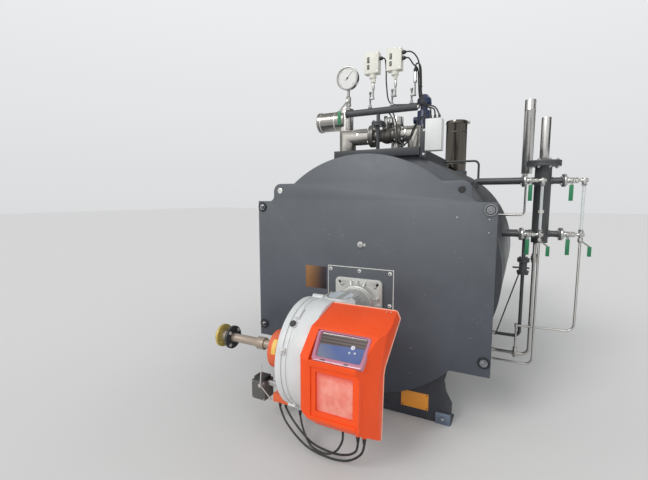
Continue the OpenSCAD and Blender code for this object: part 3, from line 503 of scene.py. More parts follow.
for name, x, material in (("ear_plug_left", -ear_x, bright_zinc), ("ear_plug_right", ear_x, plug_black)):
    settle(turned(name, plug_rings, (x, plate_face, ear_z), to_front), material)
peep_z = 1.136
peep_nut = bolt(head_r=0.0165, head_t=0.014, washer_r=0.020, washer_t=0.003, end_r=0.0085, end_t=0.012)
peep_nut = placed("peep_nut", peep_nut, [(0, plate_face, peep_z)], to_front)
peep_stud = bolt(head_r=0.0075, head_t=0.006, washer_r=0.010, washer_t=0.002)
peep_stud = placed("peep_stud", peep_stud, [(0.030, plate_face, peep_z - 0.002)], to_front)
settle(joined("peep_bolt", [peep_nut, peep_stud]), bright_zinc)
rivet = turned("rivet", [(0, 0.0055), (0.001, 0.0052), (0.002, 0.0035), (0.0024, 0.001)], sides=12)
rivet_spots = [(0.607, 1.328), (0.353, 0.488), (0.783, 1.320), (0.783, 1.244)]
fastened("plate_rivets", rivet, [(x, plate_face, z) for x, z in rivet_spots], to_front, bolt_zinc)


# Casing, cladding and smoke box: rolled steel sheet round the drum and its insulation, painted as
# the plate is. Bands with small rivets close the joints of the cladding's sheets.
def walled(piece, thickness, offset=-1):
    only(piece)
    wall = piece.modifiers.new("wall", "SOLIDIFY")
    wall.thickness = thickness
    wall.offset = offset
    bpy.ops.object.modifier_apply(modifier=wall.name)
    return piece


casing_paint = finish("casing_paint", (0.070, 0.078, 0.090), 0.42, dust=0.2, specks=0.4)
cladding_paint = finish("cladding_paint", (0.060, 0.066, 0.075), 0.36, dust=0.18, specks=0.3)
rounded("front_casing", casing_paint, width=0.002)
rounded("shell_cladding", cladding_paint, width=0.004)
rounded("rear_smoke_box", casing_paint, width=0.004)
clad_low, clad_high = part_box("shell_cladding")
clad_r = clad_high[0]
axis_z = clad_high[2] - clad_r
band_w = 0.036
band_t = 0.0012
band_ys = (clad_low[1] + 0.020, (clad_low[1] + clad_high[1]) / 2, clad_high[1] - 0.056)
bands = []
for y in band_ys:
    bpy.ops.object.select_all(action="DESELECT")
    bpy.ops.mesh.primitive_circle_add(vertices=256, radius=clad_r + 0.0002, location=(0, y, axis_z),
                                      rotation=(math.pi / 2, 0, 0))
    band = bpy.context.object
    bpy.ops.object.mode_set(mode="EDIT")
    bpy.ops.mesh.select_all(action="SELECT")
    bpy.ops.mesh.extrude_region_move(TRANSFORM_OT_translate={"value": (0, band_w, 0)})
    close_mesh()
    bands.append(walled(band, band_t, 1))
settle(joined("cladding_bands", bands), cladding_paint)
rivets_a_band = 30
rivet_r = clad_r + band_t
band_rivets = []
for y in band_ys:
    for step in range(rivets_a_band):
        angle = step * math.radians(360 / rivets_a_band)
        outward = (math.cos(angle), 0, math.sin(angle))
        place = (outward[0] * rivet_r, y + band_w / 2, axis_z + outward[2] * rivet_r)
        band_rivets.append(turned("rivet", [(0, 0.0045), (0.001, 0.004), (0.0018, 0.0018)], place,
                                  outward, 8))
settle(joined("band_rivets", band_rivets), bolt_zinc)


# Saddles: welded plate, dusty near the floor, each held down through clips and foot bolts. The
# orange placard hangs on the front one by four screws and is left without print.
def face_corners(node, inset):
    low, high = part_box(node)
    return [(x, low[1], z) for x in (low[0] + inset, high[0] - inset)
            for z in (low[2] + inset, high[2] - inset)]


saddle_paint = finish("saddle_paint", (0.036, 0.041, 0.052), 0.5, dust=0.3, specks=0.5)
for saddle in ("front_saddle", "rear_saddle"):
    rounded(saddle, saddle_paint, width=0.002)
clip_zinc = finish("clip_zinc", (0.16, 0.20, 0.27), 0.4, 0.3, dust=0.3)
rounded("foot_clips", clip_zinc, width=0.003)
clip_x = 0.560
clip_bolt_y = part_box("foot_clips")[0][1] + 0.012
clip_bolt_z = 0.040
clip_bolt = bolt(head_r=0.0085, head_t=0.008, washer_r=0.011, washer_t=0.006)
fastened("clip_bolts", clip_bolt, [(x, clip_bolt_y, clip_bolt_z) for x in (-clip_x, clip_x)], to_front,
         bright_zinc)
placard_enamel = finish("placard_enamel", (0.90, 0.36, 0.045), 0.42, dust=0.1, specks=0.3)
rounded("placard", placard_enamel, width=0.0008)
placard_screw = turned("screw", [(0, 0.0045), (0.0012, 0.0042), (0.0018, 0.0025)], sides=12)
fastened("placard_screws", placard_screw, face_corners("placard", 0.010), to_front, plug_black)


# Data plate: a thin bronze-coloured sheet, lighter on its left and darkened toward its right by painted
# shade, held by four rivets and left without print.
plate_low, plate_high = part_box("data_plate")
bronze = finish("bronze", (0.20, 0.09, 0.035), 0.35, 0.35, dust=0.1)
# Its colour darkens from left to right: painted shade
bronze_tree = bronze.node_tree
painted_shade_fade = spread(bronze_tree, object_axis(bronze_tree, "X"), plate_low[0] + 0.02, plate_high[0] - 0.03)
recolour(bronze, mix(bronze_tree, painted_shade_fade, (0.27, 0.125, 0.042, 1), (0.030, 0.020, 0.024, 1)))
rounded("data_plate", bronze, width=0.0006)
data_rivet = turned("rivet", [(0, 0.0035), (0.0008, 0.0033), (0.0014, 0.0015)], sides=12)
fastened("data_plate_rivets", data_rivet, face_corners("data_plate", 0.008), to_front, bronze)


# Burner plate: a square steel plate on a woven sealing rope whose pale edge shows all round, with
# eight screws on white washers.
plate_paint = finish("burner_plate_paint", (0.078, 0.088, 0.102), 0.40, dust=0.1, specks=0.5)
rounded("burner_plate", plate_paint)
gasket = finish("gasket_fibre", (0.86, 0.84, 0.79), 0.9, grain=900, relief=0.5, dust=0.1)
paint("gasket_rope", gasket)
burner_low, burner_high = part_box("burner_plate")
burner_face = burner_low[1]
burner_mid_z = (burner_low[2] + burner_high[2]) / 2
screw_reach = (burner_high[0] - burner_low[0]) / 2 - 0.019
screw_places = [(sx * screw_reach, burner_face, burner_mid_z + sz * screw_reach)
                for sx in (-1, 0, 1) for sz in (-1, 0, 1) if (sx, sz) != (0, 0)]
screw_t = 0.0100
end_places = [(x, y - screw_t, z) for x, y, z in screw_places]
washer_white = finish("washer_white", (0.78, 0.78, 0.76), 0.45, dust=0.05)
plate_screw = bolt(head_r=0.0085, head_t=0.007, washer_r=0.0125, washer_t=0.003)
fastened("burner_plate_screws", plate_screw, screw_places, to_front, washer_white)
screw_end = turned("end", [(0, 0.0052), (0.0005, 0.0050), (0.0008, 0.0045)], sides=16)
fastened("burner_plate_screw_ends", screw_end, end_places, to_front, plug_black)


# Cast flange: a sand-cast aluminium square with slotted corners, ribs and a coned neck, bare and a
# little oxidised. A nut on a stud fills the inner end of each slot.
def block(name, low, high, width=0.001, segments=2):
    bpy.ops.object.select_all(action="DESELECT")
    bpy.ops.mesh.primitive_cube_add(size=1, location=(Vector(low) + Vector(high)) / 2)
    piece = bpy.context.object
    piece.scale = Vector(high) - Vector(low)
    piece.name = name
    return soften(fixed(piece), width, segments, 30)


cast_aluminium = finish("cast_aluminium", (0.60, 0.60, 0.58), 0.40, 0.55, grain=380, relief=0.45,
                        dust=0.25, wear=0.3, dust_colour=(0.33, 0.32, 0.28, 1))
rounded("burner_flange", cast_aluminium, width=0.004, segments=3)
cast_flange_t = 0.022
cast_face = burner_face - cast_flange_t
flange_low, flange_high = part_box("burner_flange")
stud_inset = 0.047
stud_reach = (flange_high[0] - flange_low[0]) / 2 - stud_inset
stud_places = [(sx * stud_reach, cast_face - 0.001, burner_mid_z + sz * stud_reach)
               for sx in (-1, 1) for sz in (-1, 1)]
gusset_near = 0.116
gusset_far = 0.158
gusset_rise = 0.030
gusset_half_t = 0.0035
gusset_drop = 0.020
gussets = []
for side in range(4):
    for lean in (-20, 20):
        gusset = block("gusset", (gusset_near, -gusset_rise, -gusset_half_t),
                       (gusset_far, 0.002, gusset_half_t), 0.0015)
        for corner in gusset.data.vertices:
            if corner.co.x > (gusset_near + gusset_far) / 2 and corner.co.y < -gusset_rise / 3:
                corner.co.y += gusset_drop
        turn = (0, -math.radians(90 * side + lean), 0)
        gussets.append(moved(gusset, (0, cast_face, burner_mid_z), turn))
settle(joined("flange_gussets", gussets), cast_aluminium)
flange_stud = bolt(head_r=0.0095, head_t=0.008, washer_r=0.013, washer_t=0.002, end_r=0.005, end_t=0.006)
fastened("flange_studs", flange_stud, stud_places, to_front, bright_zinc)


# Burner body: the fan housing and the head, cast in aluminium and powder-coated a pale grey. The
# housing's rims are drawn together by clamp screws, and a black plug closes its sight hole.
burner_grey = finish("burner_grey", (0.70, 0.715, 0.71), 0.38, 0.0, grain=380, relief=0.15, dust=0.12,
                     dust_colour=(0.36, 0.36, 0.34, 1))
neck_rim = turned("neck_rim", [(0, 0.1185), (0.0015, 0.1225), (0.008, 0.1228), (0.009, 0.1215)],
                  (0, cast_face - 0.0415, burner_mid_z), (0, 1, 0), 96)
settle(neck_rim, bright_zinc)
body = rounded("burner_body", burner_grey, width=0.004, segments=3)
# Its neck, behind and above these, is left bare
neck_start_y = -0.405
neck_low_z = 0.60
tint(body, cast_aluminium, lambda c: c.y > neck_start_y and c.z > neck_low_z)
fan_y = -0.515
fan_z = 0.526
fan_r = 0.320


# A place on the fan housing's round side, at an angle above the front, and the way out of it there
def housing_place(x, degrees, radius):
    angle = math.radians(degrees)
    outward = Vector((0, -math.cos(angle), math.sin(angle)))
    return Vector((x, fan_y, fan_z)) + outward * radius, outward


spot, outward = housing_place(-0.139, 46, fan_r + 0.0065)
sight_rings = [(0, 0.0195), (0.003, 0.0195), (0.0045, 0.018), (0.0045, 0.014), (0.0035, 0.013)]
settle(turned("sight_plug", sight_rings, spot, outward), plug_black)
spot, outward = housing_place(-0.157, 19, fan_r + 0.014)
catch = bolt(head_r=0.010, head_t=0.006, washer_r=0.013, washer_t=0.002, end_r=0.005, end_t=0.004)
fastened("housing_catch", catch, [spot], outward, bright_zinc)
# The head is closed on top by an eight-sided plate with a ring of screws
lid_x = -0.015
lid_y = -0.377
lid_z = 0.850
lid_screw_r = 0.092
lid_screws = []
for step in range(8):
    angle = math.radians(45 * step + 22.5)
    lid_screws.append((lid_x + lid_screw_r * math.cos(angle), lid_y + lid_screw_r * math.sin(angle), lid_z))
head_screw = turned("screw", [(0, 0.0065), (0.004, 0.0065), (0.005, 0.0055), (0.005, 0.003),
                              (0.003, 0.0028)], sides=16)
fastened("head_screws", head_screw, lid_screws, (0, 0, 1), bright_zinc)
lid_plate = turned("head_plate", [(0, 0.080), (0.0015, 0.080), (0.0022, 0.079)], (lid_x, lid_y, lid_z),
                   sides=8)
lid_plate_paint = finish("lid_plate", (0.66, 0.73, 0.78), 0.35, 0.2, dust=0.1)
settle(lid_plate, lid_plate_paint)


# Burner cover: one moulded shell in orange plastic with soft folds and a fine grain. A thin lip runs
# down its rear edge, coloured pale as a painted highlight, and two screws hold its upper right corner.
def meshed(piece):
    only(piece)
    bpy.ops.object.convert(target="MESH")
    return bpy.context.object


cover_orange = finish("cover_orange", (0.90, 0.090, 0.016), 0.30, dust=0.05, specks=0.3, grain=500,
                      relief=0.12, dust_colour=(0.62, 0.30, 0.20, 1))
cover_orange.node_tree.nodes["Principled BSDF"].inputs["Specular IOR Level"].default_value = 0.22
rounded("burner_cover", cover_orange, width=0.010, segments=4, turn=15)
lip_route = [(-0.006, -0.505, 0.839), (0.180, -0.505, 0.839), (0.366, -0.505, 0.839),
             (0.377, -0.505, 0.832), (0.390, -0.505, 0.802), (0.3895, -0.508, 0.792),
             (0.370, -0.690, 0.600), (0.3655, -0.695, 0.560), (0.370, -0.730, 0.240),
             (0.357, -0.733, 0.226)]
lip_r = 0.0035
# The lip's pale colour is a painted highlight on the cover's edge
lip_highlight = finish("lip_highlight", (0.95, 0.52, 0.38), 0.35, dust=0.05, grain=500)
settle(meshed(rod("cover_lip", lip_route, lip_r)), lip_highlight)
cover_screw = turned("screw", [(0, 0.0045), (0.002, 0.0043), (0.003, 0.003)], sides=16)
fastened("cover_screws", cover_screw, [(0.326, -0.540, 0.8355), (0.348, -0.534, 0.8355)], (0, -0.25, 1),
         bright_zinc)


# Window: a smoke-tinted pane with a lilac frame moulded round it, set in the cover's slope. Behind
# the pane lie the control box with its vents above, a blue front below and three setting knobs.
slope = math.atan2(0.117, 0.120)
window_turn = (slope, 0, 0)
window_mid = Vector((0.180, -0.833, 0.7115))
window_half_w = 0.141
window_half_h = 0.083


# A point of the window, given across, up its slope and out of it
def on_window(across, up, out):
    return window_mid + Vector((across, up * math.cos(slope) - out * math.sin(slope),
                                up * math.sin(slope) + out * math.cos(slope)))


# Draws the selected faces on by a step and changes their size
def drawn_on(step, width, height):
    bpy.ops.mesh.extrude_region_move(TRANSFORM_OT_translate={"value": step})
    bpy.ops.transform.resize(value=(width, height, 1), center_override=(0, 0, 0))


bpy.ops.object.select_all(action="DESELECT")
bpy.ops.mesh.primitive_plane_add(size=2, location=(0, 0, -0.020))
window = bpy.context.object
window.name = "window_frame"
window.scale = (window_half_w, window_half_h, 1)
fixed(window)
# Its right corners reach further out, the upper one most, and its lower left one further in
for corner in window.data.vertices:
    if corner.co.x > 0:
        corner.co.x += 0.012 if corner.co.y > 0 else 0.005
    elif corner.co.y < 0:
        corner.co.x += 0.016
bpy.ops.object.mode_set(mode="EDIT")
bpy.ops.mesh.select_all(action="SELECT")
bpy.ops.mesh.bevel(offset=0.016, segments=5, affect="VERTICES")
bpy.ops.mesh.select_all(action="SELECT")
drawn_on((0, 0, 0.0235), 0.985, 0.975)
drawn_on((0.001, 0.009, 0), 0.90, 0.84)
drawn_on((0, 0.001, -0.013), 0.97, 0.96)
close_mesh()
soften(window, 0.0015, 2, 30)
pane_depth = 0.0095
pane_faces = [face.index for face in window.data.polygons if abs(face.center.z + pane_depth) < 0.0005]
frame_lilac = finish("frame_lilac", (0.47, 0.17, 0.25), 0.2, dust=0.1, specks=0.1, coat=0.6)
settle(moved(window, window_mid, window_turn), frame_lilac)
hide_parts("cover_window")
pane_smoke = finish("pane_smoke", (0.05, 0.06, 0.12), 0.12, dust=0.05, specks=0.15, coat=0.9)
pane_tree = pane_smoke.node_tree
rise = object_axis(pane_tree, "Z")
across = object_axis(pane_tree, "X")
slat_rate = 520.0
slat_wave = reckon(pane_tree, "SINE", reckon(pane_tree, "MULTIPLY", rise, slat_rate))
vents = mix(pane_tree, spread(pane_tree, slat_wave, -0.6, 0.6), (0.050, 0.034, 0.030, 1),
            (0.115, 0.085, 0.078, 1))
glow_top_z = 0.70
front_top_z = 0.7085
vents_low_z = 0.7125
below_top = reckon(pane_tree, "SUBTRACT", glow_top_z, rise)
glow = spread(pane_tree, reckon(pane_tree, "MULTIPLY_ADD", across, -0.6, below_top), -0.10, 0.01)
front = mix(pane_tree, glow, (0.070, 0.115, 0.300, 1), (0.22, 0.23, 0.24, 1))
tilted = reckon(pane_tree, "MULTIPLY_ADD", across, -0.035, rise)
recolour(pane_smoke, mix(pane_tree, spread(pane_tree, tilted, front_top_z, vents_low_z), front, vents))
window.data.materials.append(pane_smoke)
for index in pane_faces:
    window.data.polygons[index].material_index = 1
out_of_window = (0, -math.sin(slope), math.cos(slope))
knob_white = finish("knob_white", (0.66, 0.68, 0.74), 0.4, dust=0.05)
knobs = [("large_knob", 0.067, 0.020, 0.011), ("left_knob", 0.056, -0.008, 0.0055),
         ("right_knob", 0.084, -0.006, 0.0055)]
for name, across, up, radius in knobs:
    knob_rings = [(0, radius), (0.003, radius), (0.004, radius * 0.8), (0.004, radius * 0.45),
                  (0.0085, radius * 0.4), (0.009, radius * 0.3)]
    knob = turned(name, knob_rings, on_window(across, up, -0.0100), out_of_window)
    settle(knob, knob_white)
clasp_x = 0.062
clasps = []
for across in (-clasp_x, clasp_x):
    clasp = block("clasp", (-0.011, -0.0035, -0.001), (0.011, 0.0035, 0.0012), 0.0008)
    clasps.append(moved(clasp, on_window(across, -0.073, 0.0035), window_turn))
settle(joined("window_clasps", clasps), plug_black)


# Lower panel: a glossy translucent red plate let into the cover, red-orange at its left and top margins.
# Its mottled soft pink middle is a painted reflection of the sky, and it is left without print.
panel_red = finish("panel_red", (0.82, 0.235, 0.175), 0.16, coat=0.8, dust=0.12, specks=0.2, grain=40,
                   relief=0.12, dust_colour=(0.95, 0.52, 0.44, 1))
panel_tree = panel_red.node_tree
panel_low, panel_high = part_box("lower_panel")
from_left = spread(panel_tree, object_axis(panel_tree, "X"), panel_low[0] + 0.004, panel_low[0] + 0.034)
from_top = spread(panel_tree, object_axis(panel_tree, "Z"), panel_high[2] - 0.006, panel_high[2] - 0.036)
panel_place = panel_tree.nodes.new("ShaderNodeTexCoord").outputs["Object"]
# The pink middle and its mottled clouds: painted reflection of the sky
cloud = spread(panel_tree, noise(panel_tree, panel_place, 22.0, 5.0), 0.25, 0.75, 0.35, 1.25)
inside = reckon(panel_tree, "MULTIPLY", from_left, from_top)
recolour(panel_red, mix(panel_tree, reckon(panel_tree, "MULTIPLY", inside, cloud),
                        (0.78, 0.085, 0.040, 1), (0.90, 0.31, 0.24, 1)))
rounded("lower_panel", panel_red, width=0.003, segments=3)


# Air hood: a round moulded intake in the cover's orange on the fan housing's left, with a plain
# yellow patch on its side and the cable bracket below it.
hood_orange = finish("hood_orange", (0.76, 0.13, 0.040), 0.42, dust=0.12, specks=0.3, grain=500,
                     relief=0.12)
rounded("air_hood", hood_orange, width=0.010, segments=4)
hood_r = 0.118
hood_axis = (0, fan_y, 0.495)
patch_x = -0.352
patch_w = 0.030
bpy.ops.object.select_all(action="DESELECT")
bpy.ops.mesh.primitive_cylinder_add(vertices=128, radius=hood_r + 0.0008, depth=patch_w,
                                    end_fill_type="NOTHING", location=(patch_x, *hood_axis[1:]),
                                    rotation=(0, math.pi / 2, 0))
patch = fixed(bpy.context.object)
patch.name = "yellow_patch"
bpy.ops.object.mode_set(mode="EDIT")
# Only the front arc between two cuts is kept
cuts = [(0, side * math.sin(math.radians(angle)), side * math.cos(math.radians(angle)))
        for angle, side in ((48, 1), (4, -1))]
for cut in (*cuts, (0, 1, 0)):
    bpy.ops.mesh.select_all(action="SELECT")
    bpy.ops.mesh.bisect(plane_co=hood_axis, plane_no=cut, clear_outer=True)
bpy.ops.object.mode_set(mode="OBJECT")
patch_yellow = finish("patch_yellow", (0.86, 0.56, 0.11), 0.4, dust=0.1, specks=0.2)
settle(walled(patch, 0.0006), patch_yellow)


# Gas pipe: brown-painted steel pipe with a threaded union. Its first flange has a yellow face, the
# second is black and carries four bolts.
pipe_paint = finish("gas_pipe_paint", (0.40, 0.33, 0.26), 0.42, 0.2, dust=0.3, specks=0.5)
gas_pipe = rounded("gas_pipe", pipe_paint)
gas_low, gas_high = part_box("gas_pipe")
gas_start = gas_low[0]
gas_y = (gas_low[1] + gas_high[1]) / 2
gas_z = (gas_low[2] + gas_high[2]) / 2
yellow_end = gas_start + 0.0185
black_start = gas_start + 0.0845
black_end = gas_start + 0.1035
ring_yellow = finish("ring_yellow", (0.60, 0.46, 0.12), 0.42, 0.3, dust=0.3, specks=0.6,
                     dust_colour=(0.16, 0.14, 0.10, 1))
flange_black = finish("flange_black", (0.030, 0.032, 0.036), 0.45, dust=0.25)
tint(gas_pipe, ring_yellow, lambda c: c.x < yellow_end)
tint(gas_pipe, flange_black, lambda c: black_start < c.x < black_end)
axes = {"x": (1, 0, 0), "y": (0, 1, 0), "z": (0, 0, 1)}


# Places round a flange's middle, on its bolt circle, in the plane across the axis given
def bolt_circle(middle, axis, radius, count, first=45):
    places = []
    for step in range(count):
        angle = math.radians(first + 360 / count * step)
        u = radius * math.cos(angle)
        v = radius * math.sin(angle)
        offset = {"x": (0, u, v), "y": (u, 0, v), "z": (u, v, 0)}[axis]
        places.append(tuple(m + o for m, o in zip(middle, offset)))
    return places


# Studs through a pair of flanges, with a nut at each end
def studs_through(name, middle, axis, radius, count, grip, nut_r=0.011, first=45):
    nut_t = nut_r * 0.85
    nut_rings = [(0, nut_r), (nut_t * 0.85, nut_r), (nut_t, nut_r * 0.88)]
    nuts = [turned("nut", nut_rings, (0, 0, side * grip / 2), (0, 0, side), 6) for side in (1, -1)]
    reach = grip / 2 + nut_t * 1.5
    shank_rings = [(-reach, nut_r * 0.42), (-reach + 0.001, nut_r * 0.5), (reach - 0.001, nut_r * 0.5),
                   (reach, nut_r * 0.42)]
    stud = joined("stud", nuts + [turned("shank", shank_rings, sides=12)])
    return placed(name, stud, bolt_circle(middle, axis, radius, count, first), axes[axis])


black_mid = ((black_start + black_end) / 2, gas_y, gas_z)
gas_studs = studs_through("gas_flange_studs", black_mid, "x", 0.0625, 4, 0.018, 0.0139)
settle(gas_studs, bright_zinc)


# Air servo: a grey motor box with a black cap, which turns the air damper through a bright crank
# and two rods.
servo_grey = finish("servo_grey", (0.105, 0.100, 0.096), 0.5, dust=0.25)
servo = rounded("air_servo", servo_grey, width=0.002)
servo_x, servo_y, servo_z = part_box("air_servo")[0]
motor_w = 0.100
motor_h = 0.120
motor_face = servo_y + 0.022
servo_inset = 0.008
tint(servo, plug_black,
     lambda c: c.x < servo_x + motor_w and c.y > servo_y + 0.012 and c.z > servo_z + motor_h + 0.001)
tint(servo, bright_zinc, lambda c: c.x > servo_x + motor_w + 0.002 or c.y < motor_face - 0.0005)
servo_screw = turned("screw", [(0, 0.004), (0.001, 0.0038), (0.0016, 0.002)], sides=12)
servo_screws = [(servo_x + dx, motor_face, servo_z + dz) for dx in (servo_inset, motor_w - servo_inset)
                for dz in (servo_inset, motor_h - servo_inset)]
fastened("servo_screws", servo_screw, servo_screws, to_front, bright_zinc)


# Deck: folded steel plate on the boiler's back that carries the header, sprayed a shade darker than
# the casing.
deck_paint = finish("deck_paint", (0.042, 0.046, 0.053), 0.45, dust=0.15, specks=0.4)
rounded("top_deck", deck_paint, width=0.002)
deck_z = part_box("top_deck")[1][2]


# Clad pipes: steam column, steam line and flue in polished sheet steel over their insulation, with
# fine drawn lines along them, lapped seams and small rivets. The flue's sheet is coloured dark brown,
# a painted reflection of dark surroundings.
def sheet_metal(name, colour, roughness, stretch):
    return finish(name, colour, roughness, 1.0, dust=0.12, specks=0.15, grain=60, relief=0.25,
                  dust_colour=(0.30, 0.28, 0.25, 1), stretch=stretch)


# One polished sheet in lit and shaded copies: the level, outlet and flue copies are darker, a painted
# reflection of dark surroundings
upright_sheet = sheet_metal("upright_sheet", (0.66, 0.645, 0.62), 0.18, (6, 6, 0.15))
level_sheet = sheet_metal("level_sheet", (0.50, 0.485, 0.455), 0.20, (0.15, 6, 6))
flue_sheet = sheet_metal("flue_sheet", (0.135, 0.124, 0.108), 0.13, (5, 5, 0.15))
outlet_sheet = sheet_metal("outlet_sheet", (0.34, 0.33, 0.31), 0.22, (0.15, 6, 6))
flange_steel = finish("flange_steel", (0.17, 0.165, 0.155), 0.4, 0.8, dust=0.2)
column = rounded("steam_column", upright_sheet, width=0.0015)
line = rounded("steam_line", level_sheet, width=0.0015)
rounded("flue_stack", flue_sheet, width=0.002)
column_x = -0.378
column_y = 0.505
column_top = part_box("steam_column")[1][2]
outlet_z = column_top - 0.092
line_y = 0.345
line_z = deck_z + 0.122
line_r = 0.060
nozzle_y = 0.475
outlet_start = column_x - 0.056
elbow_y = line_y + 0.080
left_flange = (-0.1045, -0.0855)
right_flange = (0.1215, 0.1405)
tint(column, outlet_sheet, lambda c: c.x < outlet_start)
tint(line, flange_steel, lambda c: left_flange[0] < c.x < left_flange[1]
     or right_flange[0] < c.x < right_flange[1] and c.y < elbow_y)
tint(line, upright_sheet, lambda c: c.y > elbow_y)


# A lapped seam round a clad pipe: a thin raised band with a rounded bead
def seam(place, toward, radius, width=0.014):
    lift = 0.0012
    rings = [(0, radius - 0.002), (0, radius), (0.002, radius + lift), (width - 0.002, radius + lift),
             (width, radius), (width, radius - 0.002)]
    return turned("seam", rings, place, toward, 64)


seams = [seam((column_x, column_y, z), axes["z"], 0.055) for z in (deck_z + 0.150, outlet_z + 0.075)]
seams += [seam((x, column_y, outlet_z), axes["x"], 0.077) for x in (-0.600, -0.470)]
seams += [seam((x, line_y, line_z), axes["x"], radius) for x, radius in ((-0.200, line_r), (0.164, 0.055))]
seams.append(seam((0.062, nozzle_y, deck_z + 0.118), axes["z"], 0.044))
settle(joined("clad_seams", seams), upright_sheet)
clad_rivet = turned("rivet", [(0, 0.003), (0.0008, 0.0028), (0.0014, 0.0012)], sides=8)
rivet_y = line_y - line_r + 0.0002
fastened("clad_rivets", clad_rivet, [(x, rivet_y, line_z) for x in (-0.240, -0.190, -0.140)], to_front,
         bolt_zinc)
flue_low, flue_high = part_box("flue_stack")
flue_r = 0.118
flue_x = 0.208
flue_y = (flue_low[1] + flue_high[1]) / 2
flue_seams = [seam((flue_x, flue_y, z), axes["z"], flue_r)
              for z in (flue_low[2] + 0.080, flue_high[2] - 0.140)]
settle(joined("flue_seams", flue_seams), flue_sheet)
clamp_place = (flue_x + flue_r + 0.024, flue_y - 0.024, flue_high[2] - 0.028)
clamp_bolt = studs_through("clamp_bolt", clamp_place, "y", 0, 1, 0.022, 0.010)
settle(clamp_bolt, bright_zinc)


# Steam valve: a cast globe valve in dark steel between two flange pairs, with a bolted bonnet and a
# bright yoke. Four studs with new, bright nuts hold each flange pair.
valve_steel = finish("valve_steel", (0.19, 0.18, 0.165), 0.42, 0.75, grain=300, relief=0.4, dust=0.25)
valve = rounded("steam_valve", valve_steel, width=0.002)
valve_x = 0.026
valve_grip = 0.036
tint(valve, bright_zinc, lambda c: c.z > line_z + 0.0845)
yoke_bar = block("yoke_bar", (valve_x - 0.013, line_y - 0.054, line_z + 0.040),
                 (valve_x + 0.013, line_y - 0.043, line_z + 0.132), 0.004, 3)
settle(yoke_bar, bright_zinc)
valve_studs = joined("valve_studs", [
    studs_through("studs", (x, line_y, line_z), "x", radius, 4, valve_grip)
    for x, radius in ((-0.086, 0.0625), (0.122, 0.0555))])
settle(valve_studs, bright_zinc)
bonnet_studs = studs_through("bonnet_studs", (valve_x, line_y, line_z + 0.075), "z", 0.038, 6, 0.020,
                             0.008)
settle(bonnet_studs, bolt_zinc)


# Instrument header: a painted pipe on a post with a flange pair, with bosses and steel siphon tubes
# that carry the instruments. Bright union nuts join the tubes to the bosses.
header_paint = finish("header_paint", (0.070, 0.072, 0.077), 0.38, dust=0.2, specks=0.4)
rounded("instrument_manifold", header_paint)
tube_steel = finish("tube_steel", (0.24, 0.24, 0.24), 0.35, 0.9, dust=0.15)
rounded("siphon_tubes", tube_steel, width=0.001)
header_y = 0.235
header_z = deck_z + 0.280
header_end_x = 0.270
boss_z = header_z + 0.030
post_x = -0.010
switch_x = (-0.059, 0.105)
transmitter_x = 0.243
gauge_x = -0.245
post_studs = studs_through("post_studs", (post_x, header_y, deck_z + 0.1885), "z", 0.036, 4, 0.029, 0.009)
settle(post_studs, bolt_zinc)
union_nut = turned("nut", [(0, 0.0135), (0.008, 0.0135), (0.010, 0.0115)], sides=6)
union_xs = [x - 0.014 for x in (*switch_x, transmitter_x)] + [gauge_x]
fastened("union_nuts", union_nut, [(x, header_y, boss_z) for x in union_xs], (0, 0, 1), bright_zinc)
stem_rings = [(0, 0.0085), (0.002, 0.0095), (0.040, 0.0095), (0.042, 0.0085)]
stems = [turned("stem", stem_rings, (x + 0.008, header_y, header_z + 0.153), sides=24) for x in switch_x]
settle(joined("switch_stems", stems), bright_zinc)
end_plug = turned("header_plug", [(0, 0.0145), (0.010, 0.0145), (0.012, 0.012), (0.017, 0.010)],
                  (header_end_x, header_y, header_z), axes["x"], 6)
settle(end_plug, bright_zinc)


# Pressure gauge: a turned steel case with a rolled bezel, a white dial with black marks and a black
# needle on a hub, over a union nut. The dial carries marks only, no figures.
gauge_steel = finish("gauge_steel", (0.46, 0.46, 0.45), 0.18, 1.0, dust=0.1, specks=0.1)
dial_white = finish("dial_white", (0.80, 0.80, 0.77), 0.4, dust=0.05, specks=0.1)
dial_black = finish("dial_black", (0.02, 0.02, 0.02), 0.4, dust=0, specks=0)
gauge_low, gauge_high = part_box("pressure_gauge")
bezel_r = (gauge_high[0] - gauge_low[0]) / 2
gauge_z = gauge_high[2] - bezel_r
gauge_back = gauge_high[1]
dial_r = bezel_r - 0.011
dial_depth = 0.042
dial_y = gauge_back - dial_depth
case_rings = [
    (0, bezel_r - 0.022), (0.004, bezel_r - 0.008), (0.010, bezel_r - 0.004), (0.036, bezel_r - 0.003),
    (0.038, bezel_r - 0.0005), (0.047, bezel_r), (0.0495, bezel_r - 0.003), (0.0498, bezel_r - 0.007),
    (0.048, bezel_r - 0.0095), (dial_depth, dial_r)]
gauge_case = turned("gauge_case", case_rings, (gauge_x, gauge_back, gauge_z), to_front, 64)
settle(gauge_case, gauge_steel)
tint(gauge_case, dial_white,
     lambda c: abs(c.y - dial_y) < 0.001 and math.hypot(c.x - gauge_x, c.z - gauge_z) < 0.01)
neck_place = (gauge_x, header_y, gauge_low[2])
neck_rings = [(0, 0.0125), (0.018, 0.0125), (0.020, 0.0095), (0.062, 0.0095), (0.064, 0.010)]
gauge_neck = turned("gauge_neck", neck_rings, neck_place, sides=24)
gauge_nut = turned("gauge_nut", [(0, 0.0165), (0.014, 0.0165), (0.017, 0.014)], neck_place, sides=6)
settle(joined("gauge_neck", [gauge_neck, gauge_nut]), gauge_steel)
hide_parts("pressure_gauge")
first_mark = 225
mark_step = 270 / 30
marks = []
